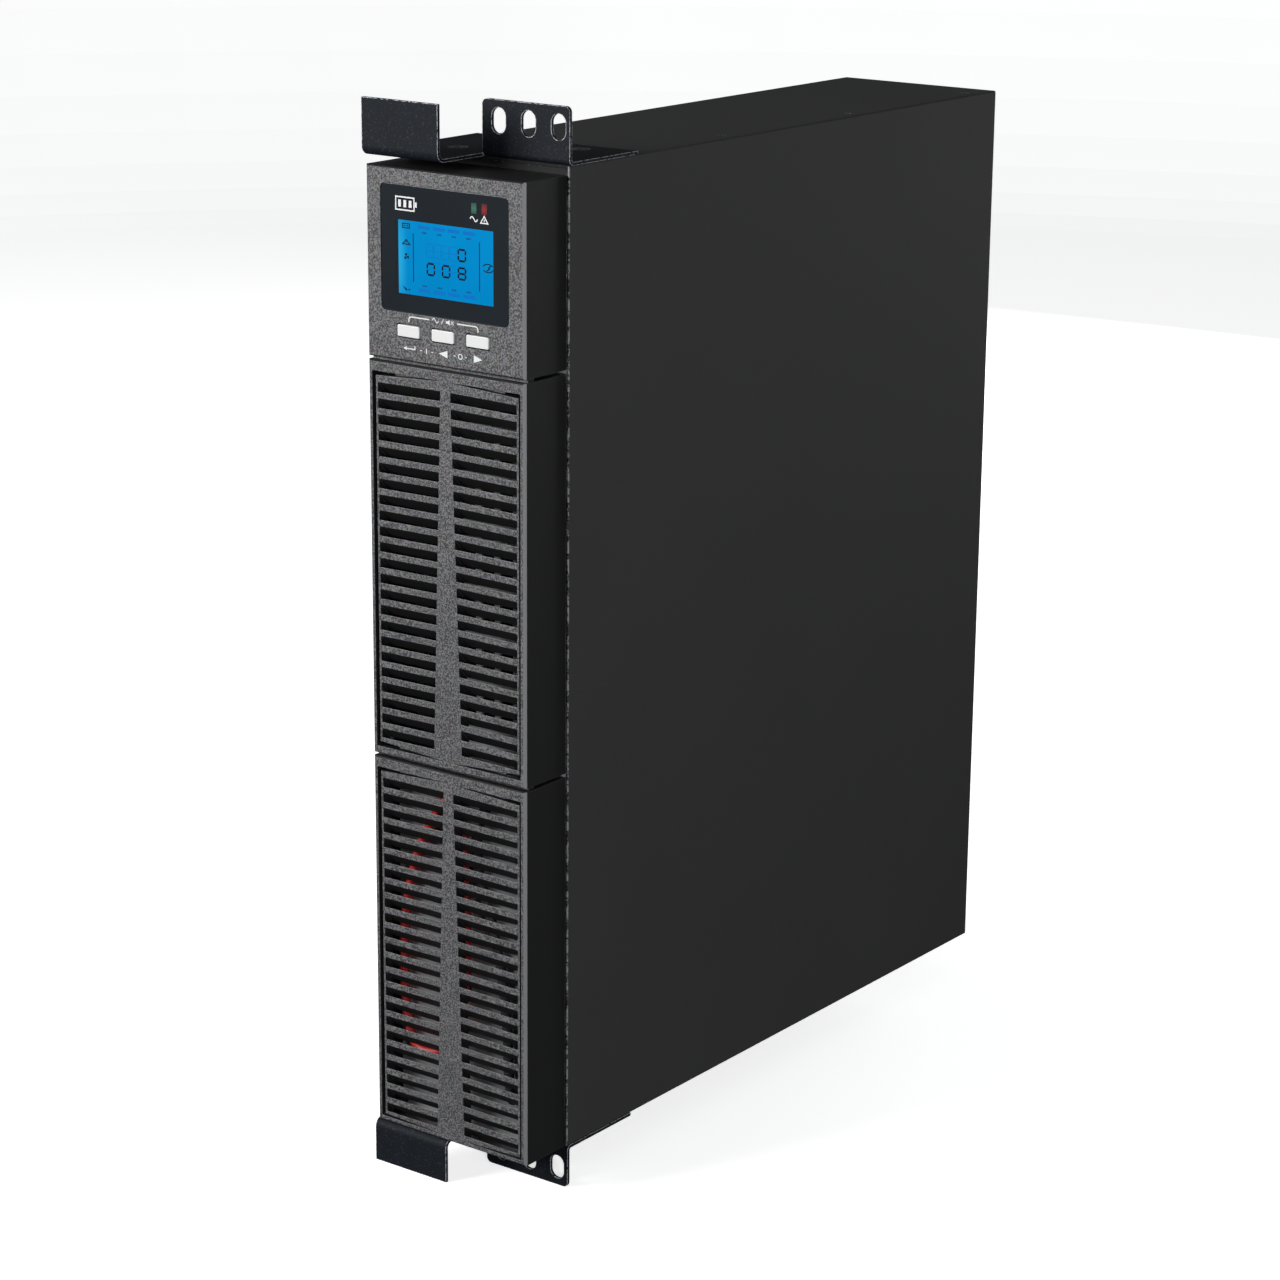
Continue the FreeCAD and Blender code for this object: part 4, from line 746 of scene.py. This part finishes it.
def digit(character, x, z, settings, y_face):
    """One seven-segment digit whose lower left corner is at x, z.

    Each bar is a pointed strip between two of the six corners, kept short of both by a gap.
    """
    w, h, s = settings.digit_width, settings.digit_height, settings.segment
    x0, x1 = x + s / 2, x + w - s / 2
    z0, z1, zm = z + s / 2, z + h - s / 2, z + h / 2
    bars = {
        "a": ((x0, z1), (x1, z1)),
        "b": ((x1, z1), (x1, zm)),
        "c": ((x1, zm), (x1, z0)),
        "d": ((x0, z0), (x1, z0)),
        "e": ((x0, z0), (x0, zm)),
        "f": ((x0, zm), (x0, z1)),
        "g": ((x0, zm), (x1, zm)),
    }
    lit = {"0": "abcdef", "8": "abcdefg"}[character]
    gap = 0.55 * s
    parts = []
    for key in lit:
        (ax, az), (bx, bz) = bars[key]
        a, b = np.array([ax, az]), np.array([bx, bz])
        along = (b - a) / np.linalg.norm(b - a)
        across = np.array([-along[1], along[0]]) * s / 2
        start, end = a + along * gap * 0.5, b - along * gap * 0.5
        tip = along * s * 0.22
        first, last = start + tip, end - tip
        outline = [start, first - across, last - across, end, last + across, first + across]
        parts.append(ink_patch(outline, y_face, settings.thickness))
    return parts


class PSU_OT_display_picture(bpy.types.Operator):
    """Draws the figures, bars and symbols of the lit display"""

    bl_idname = "psu.display_picture"
    bl_label = "Display picture"

    def execute(self, context):
        settings = context.scene.psu_print
        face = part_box("lcd_glass")[0].y
        low, high = display_opening()
        cx, cz = (low.x + high.x) / 2 - 1.3 * MM, (low.z + high.z) / 2 - 0.4 * MM

        def line(points, width=0.45):
            return ink_line(around(cx, cz, points), width * MM, face, settings.thickness)

        def patch(points):
            return ink_patch(around(cx, cz, points), face, settings.thickness)

        # The picture's own coordinates are in millimetres round its centre.
        dark = []
        for character, x, z in (("0", 6.3, 1.1), ("0", -10.6, -6.6), ("0", -2.3, -6.6), ("8", 6.3, -6.6)):
            dark += digit(character, cx + x * MM, cz + z * MM, settings, face)
        dark += [line([(x, 10.4), (x, -10.2)], 0.42) for x in (-17.8, 18.1)]
        dark.append(line([(-23.6, 12.4), (-19.8, 12.4), (-19.8, 14.2), (-23.6, 14.2), (-23.6, 12.4)]))
        dark += [line([(x, 13.3), (x + 0.9, 13.3)], 0.5) for x in (-23.0, -21.3)]
        dark.append(line([(-23.6, 5.5), (-19.7, 5.5), (-21.65, 7.5), (-23.6, 5.5)]))
        dark.append(line([(-21.65, 6.9), (-21.65, 6.1)]))
        for turn in (90, 210, 330):
            tip = arc((-21.6, 0.3), 1.35, turn - 20, turn + 50, 6)
            dark.append(patch([(-21.6, 0.3), *tip.tolist()]))
        dark.append(patch([(-23.7, -12.2), (-22.6, -12.9), (-23.0, -13.5)]))
        dark.append(line([(-22.6, -13.2), (-21.4, -14.0)], 0.7))
        dark.append(patch([(-20.9, -13.5), (-19.6, -13.2), (-20.4, -14.2)]))
        dark.append(line(arc((22.6, 0.0), 2.8, 30, 160, 12, 0.62)))
        dark.append(line(arc((22.6, 0.0), 2.8, 210, 340, 12, 0.62)))
        dark.append(line([(24.3, 1.2), (22.9, 0.2), (23.5, -0.2), (21.9, -1.2)], 0.5))
        ghosts = []
        for x in (-15.2, -6.9, 1.0, 9.2):
            ghosts.append(patch(box_outline(x, x + 6.6, 12.7, 14.2)))
            ghosts.append(patch(box_outline(x, x + 6.6, -14.0, -12.4)))
        marks = []
        for x in (-12.8, -4.6, 3.2, 11.1):
            for z in (11.2, -11.2):
                marks += [patch(box_outline(x + k, x + k + 0.55, z - 0.4, z + 0.4)) for k in (0.0, 0.85, 1.7)]
        for x in (-10.4, -6.2, -1.9, 2.4):
            ghosts += [line([(x, z), (x + 3.2, z)], 0.34) for z in (1.2, 4.0, 6.9, -0.9, -3.8)]
            ghosts += [line([(x + k, 1.5), (x + k, 6.6)], 0.30) for k in (-0.35, 3.55)]
        for name, parts, colour in (
            ("lcd_figures", dark, (0.002, 0.006, 0.016)),
            ("lcd_small_marks", marks, (0.0, 0.075, 0.22)),
            ("lcd_unlit_segments", ghosts, (0.0, 0.185, 0.62)),
        ):
            finish = ink_finish(name + "_ink", colour, lit=name != "lcd_figures", gloss=0.05)
            mesh_piece(name, *gathered(parts), "display_module", finish, "lcd")
        return {"FINISHED"}


class PSU_OT_window_prints(bpy.types.Operator):
    """Prints the lamp windows, their symbols and a plain battery symbol on the window"""

    bl_idname = "psu.window_prints"
    bl_label = "Window prints"

    def execute(self, context):
        settings = context.scene.psu_print
        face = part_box("display_window")[0].y
        white = ink_finish("window_ink", tuple(settings.ink))
        parts = []

        def add_line(points, width=settings.line):
            parts.append(ink_line(points, width, face, settings.thickness))

        def add_patch(points):
            parts.append(ink_patch(points, face, settings.thickness))

        lamps = (
            ("green", (0.008, 0.040, 0.026), (0.030, 0.115, 0.078)),
            ("red", (0.050, 0.004, 0.005), (0.21, 0.012, 0.014)),
        )
        for colour, dark, bright in lamps:
            low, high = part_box("led_" + colour)
            finish = lamp_finish(colour + "_lamp_window", dark, bright, low, high)
            shape = ink_patch(box_outline(low.x, high.x, low.z, high.z), face, settings.thickness)
            mesh_piece(colour + "_lamp_print", *shape, "display_module", finish, "led_" + colour)

        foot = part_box("led_green")[0].z
        add_line(sine(middle_of("led_green").x, foot - 2.2 * MM, 2.0 * MM, 0.95 * MM, 25))
        x, z = middle_of("led_red").x, foot - 3.5 * MM
        half_width, height = 1.9 * MM, 2.9 * MM
        add_line([(x - half_width, z), (x + half_width, z), (x, z + height), (x - half_width, z)])
        add_line([(x, z + 0.55 * height), (x, z + 0.2 * height)], 0.8 * settings.line)

        low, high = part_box("display_window")
        x, z = low.x + 8.2 * MM, high.z - 10.6 * MM
        width, height = 10.0 * MM, 5.4 * MM
        bar, pitch, inset = 1.5 * MM, 2.9 * MM, 1.2 * MM
        end = x + width
        add_line([*box_outline(x, end, z, z + height), (x, z)], 0.62 * MM)
        add_patch(box_outline(end + 0.5 * MM, end + 1.5 * MM, z + 0.3 * height, z + 0.7 * height))
        for step in range(3):
            left = x + 1.35 * MM + step * pitch
            add_patch(box_outline(left, left + bar, z + inset, z + height - inset))
        mesh_piece("window_symbols", *gathered(parts), "display_module", white, "window")
        return {"FINISHED"}


class PSU_OT_key_legends(bpy.types.Operator):
    """Prints the bracket over the keys and the plain symbols under them"""

    bl_idname = "psu.key_legends"
    bl_label = "Key legends"

    def execute(self, context):
        settings = context.scene.psu_print
        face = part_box("display_housing")[0].y
        thin = 0.34 * MM
        left, middle, right = (middle_of(node) for node in ("key_left", "key_middle", "key_right"))
        top, foot, low = left.z + 6.3 * MM, left.z + 3.9 * MM, left.z - 7.4 * MM
        turn = 1.3 * MM
        half_gap = 7.6 * MM
        parts = []

        def add_line(points, width=settings.line):
            parts.append(ink_line(points, width, face, settings.thickness))

        def add_patch(points):
            parts.append(ink_patch(points, face, settings.thickness))

        corner = arc((left.x + turn, top - turn), turn, 180, 90, 6)
        add_line([(left.x, foot), *corner.tolist(), (middle.x - half_gap, top)])
        corner = arc((right.x - turn, top - turn), turn, 90, 0, 6)
        add_line([(middle.x + half_gap, top), *corner.tolist(), (right.x, foot)])
        add_line(sine(middle.x - 4.2 * MM, top, 1.7 * MM, 0.85 * MM, 21), 0.36 * MM)
        add_line(around(middle.x, top, [(-1.0, -1.1), (0.2, 1.1)]), thin)
        x = middle.x + 2.6 * MM
        speaker = [(-1.0, -0.5), (-0.1, -0.5), (0.9, -1.2), (0.9, 1.2), (-0.1, 0.5), (-1.0, 0.5)]
        add_patch(around(x, top, speaker))
        for way in (1, -1):
            add_line(around(x, top, [(1.6, -0.7 * way), (3.0, 0.7 * way)]), thin)

        add_patch(around(left.x, low, [(-3.2, 0.0), (-1.4, 0.85), (-1.4, -0.75)]))
        add_line(around(left.x, low, [(-1.6, 0.0), (3.2, 0.0), (3.2, 1.4)]), 0.5 * MM)
        for x, ring in ((middle.x - 9.3 * MM, False), (middle.x + 9.2 * MM, True)):
            for side in (-1, 1):
                add_line(around(x, low, [(side * 3.6, 0.0), (side * 2.6, 0.0)]), thin)
            if ring:
                add_line(arc((x, low), 1.05 * MM, 0, 360, 25), 0.40 * MM)
            else:
                add_line(around(x, low, [(0.0, -1.2), (0.0, 1.2)]), 0.44 * MM)
        add_patch(around(middle.x, low, [(-2.4, 0.0), (2.2, -1.6), (2.2, 1.6)]))
        add_patch(around(right.x, low, [(2.3, 0.0), (-2.3, 1.6), (-2.3, -1.6)]))
        finish = ink_finish("legend_ink", tuple(settings.ink))
        mesh_piece("key_legends", *gathered(parts), "display_module", finish, "keys")
        return {"FINISHED"}


def bowl(radius, rise, height):
    """A surface of revolution round Z: a flat disc, a quarter circle of the rise and a wall."""
    flat = np.stack([np.linspace(0.0, radius, 12), np.zeros(12)], 1)
    angle = np.linspace(0, math.pi / 2, 17)[1:]
    curve = np.stack([radius + rise * np.sin(angle), rise * (1 - np.cos(angle))], 1)
    wall = np.array([[radius + rise, height]])
    profile = np.vstack([flat[1:], curve, wall])
    turns = 96
    around = np.linspace(0, 2 * math.pi, turns, endpoint=False)
    r, z = profile[:, 0][:, None], profile[:, 1][:, None]
    grid = np.stack([r * np.cos(around), r * np.sin(around), np.broadcast_to(z, (len(profile), turns))], 2)
    vertices = np.vstack([grid.reshape(-1, 3), [[0.0, 0.0, 0.0]]])
    index = np.arange(len(profile) * turns).reshape(-1, turns)
    nxt = np.roll(index, -1, 1)
    quads = np.stack([index[:-1], nxt[:-1], nxt[1:], index[1:]], 2)[:, :, ::-1].reshape(-1, 4)
    centre = len(vertices) - 1
    cap = [[centre, int(a), int(b)] for a, b in zip(index[0], nxt[0])]
    return vertices, [*quads.tolist(), *cap]


def area_light(name, place, target, size_x, size_y, power):
    """A softbox at a place, turned to a target."""
    light = bpy.data.lights.new(name, "AREA")
    light.shape = "RECTANGLE"
    light.size = size_x
    light.size_y = size_y
    light.energy = power
    lamp = bpy.data.objects.new(name, light)
    bpy.context.scene.collection.objects.link(lamp)
    lamp.location = place
    lamp.rotation_euler = (Vector(target) - Vector(place)).to_track_quat("-Z", "Y").to_euler()


class PSU_OT_stage(bpy.types.Operator):
    """Sets up the floor, the lights and the camera"""

    bl_idname = "psu.stage"
    bl_label = "Stage"

    def execute(self, context):
        settings = context.scene.psu_stage
        f = Finish("pale_floor")
        tone = f.noise(0.4, 2.0)
        base = f.blend(tone * 0.5, tuple(settings.floor), tuple(0.97 * c for c in settings.floor))
        floor_finish = f.shade(base=base, rough=0.85, gloss=0.1, glow=base, glow_strength=FLOOR_GLOW)
        vertices, faces = bowl(radius=2.6, rise=0.9, height=3.0)
        clearance = 0.2 * MM
        floor = mesh_piece("floor", vertices - [0, 0, clearance], faces, None, floor_finish)
        floor.visible_glossy = False
        floor.visible_diffuse = False
        for name, place, target, width, height, power in LIGHTS:
            area_light(name, place, target, width, height, getattr(settings, power))
        world = bpy.data.worlds.new("studio_air")
        context.scene.world = world
        world.use_nodes = True
        air = world.node_tree.nodes["Background"].inputs
        air["Color"].default_value = (0.9, 0.93, 1.0, 1.0)
        air["Strength"].default_value = AIR_STRENGTH
        data = bpy.data.cameras.new("camera")
        data.lens = settings.lens
        data.sensor_width = 36.0
        data.clip_start, data.clip_end = 0.02, 40.0
        camera = bpy.data.objects.new("camera", data)
        context.scene.collection.objects.link(camera)
        reach = math.cos(CAMERA_PITCH)
        forward = Vector(
            (math.sin(CAMERA_YAW) * reach, math.cos(CAMERA_YAW) * reach, math.sin(CAMERA_PITCH))
        )
        level = forward.cross(Vector((0, 0, 1))).normalized()
        upright = level.cross(forward)
        right = math.cos(CAMERA_ROLL) * level + math.sin(CAMERA_ROLL) * upright
        up = math.cos(CAMERA_ROLL) * upright - math.sin(CAMERA_ROLL) * level
        turned = Matrix((right, up, -forward)).transposed().to_4x4()
        turned.translation = Vector((settings.camera_x, -settings.camera_y, settings.camera_z))
        camera.matrix_world = turned
        context.scene.camera = camera
        context.scene.view_settings.view_transform = "Standard"
        return {"FINISHED"}


class PSU_PT_panel(bpy.types.Panel):
    """Lists the steps that dress the power supply"""

    bl_idname = "PSU_PT_panel"
    bl_label = "Power supply"
    bl_space_type = "VIEW_3D"
    bl_region_type = "UI"
    bl_category = "Power supply"

    def draw(self, context):
        for step in STEPS:
            self.layout.operator(step.bl_idname)


STEPS = (
    PSU_OT_finishes,
    PSU_OT_display_picture,
    PSU_OT_window_prints,
    PSU_OT_key_legends,
    PSU_OT_stage,
)
CLASSES = (PSU_finish_settings, PSU_print_settings, PSU_stage_settings, *STEPS, PSU_PT_panel)


def register():
    for cls in CLASSES:
        bpy.utils.register_class(cls)
    bpy.types.Scene.psu_finish = bpy.props.PointerProperty(type=PSU_finish_settings)
    bpy.types.Scene.psu_print = bpy.props.PointerProperty(type=PSU_print_settings)
    bpy.types.Scene.psu_stage = bpy.props.PointerProperty(type=PSU_stage_settings)


def unregister():
    del bpy.types.Scene.psu_finish
    del bpy.types.Scene.psu_print
    del bpy.types.Scene.psu_stage
    for cls in reversed(CLASSES):
        bpy.utils.unregister_class(cls)


def main():
    register()
    bpy.ops.psu.finishes()
    bpy.ops.psu.display_picture()
    bpy.ops.psu.window_prints()
    bpy.ops.psu.key_legends()
    bpy.ops.psu.stage()


if __name__ == "__main__":
    main()
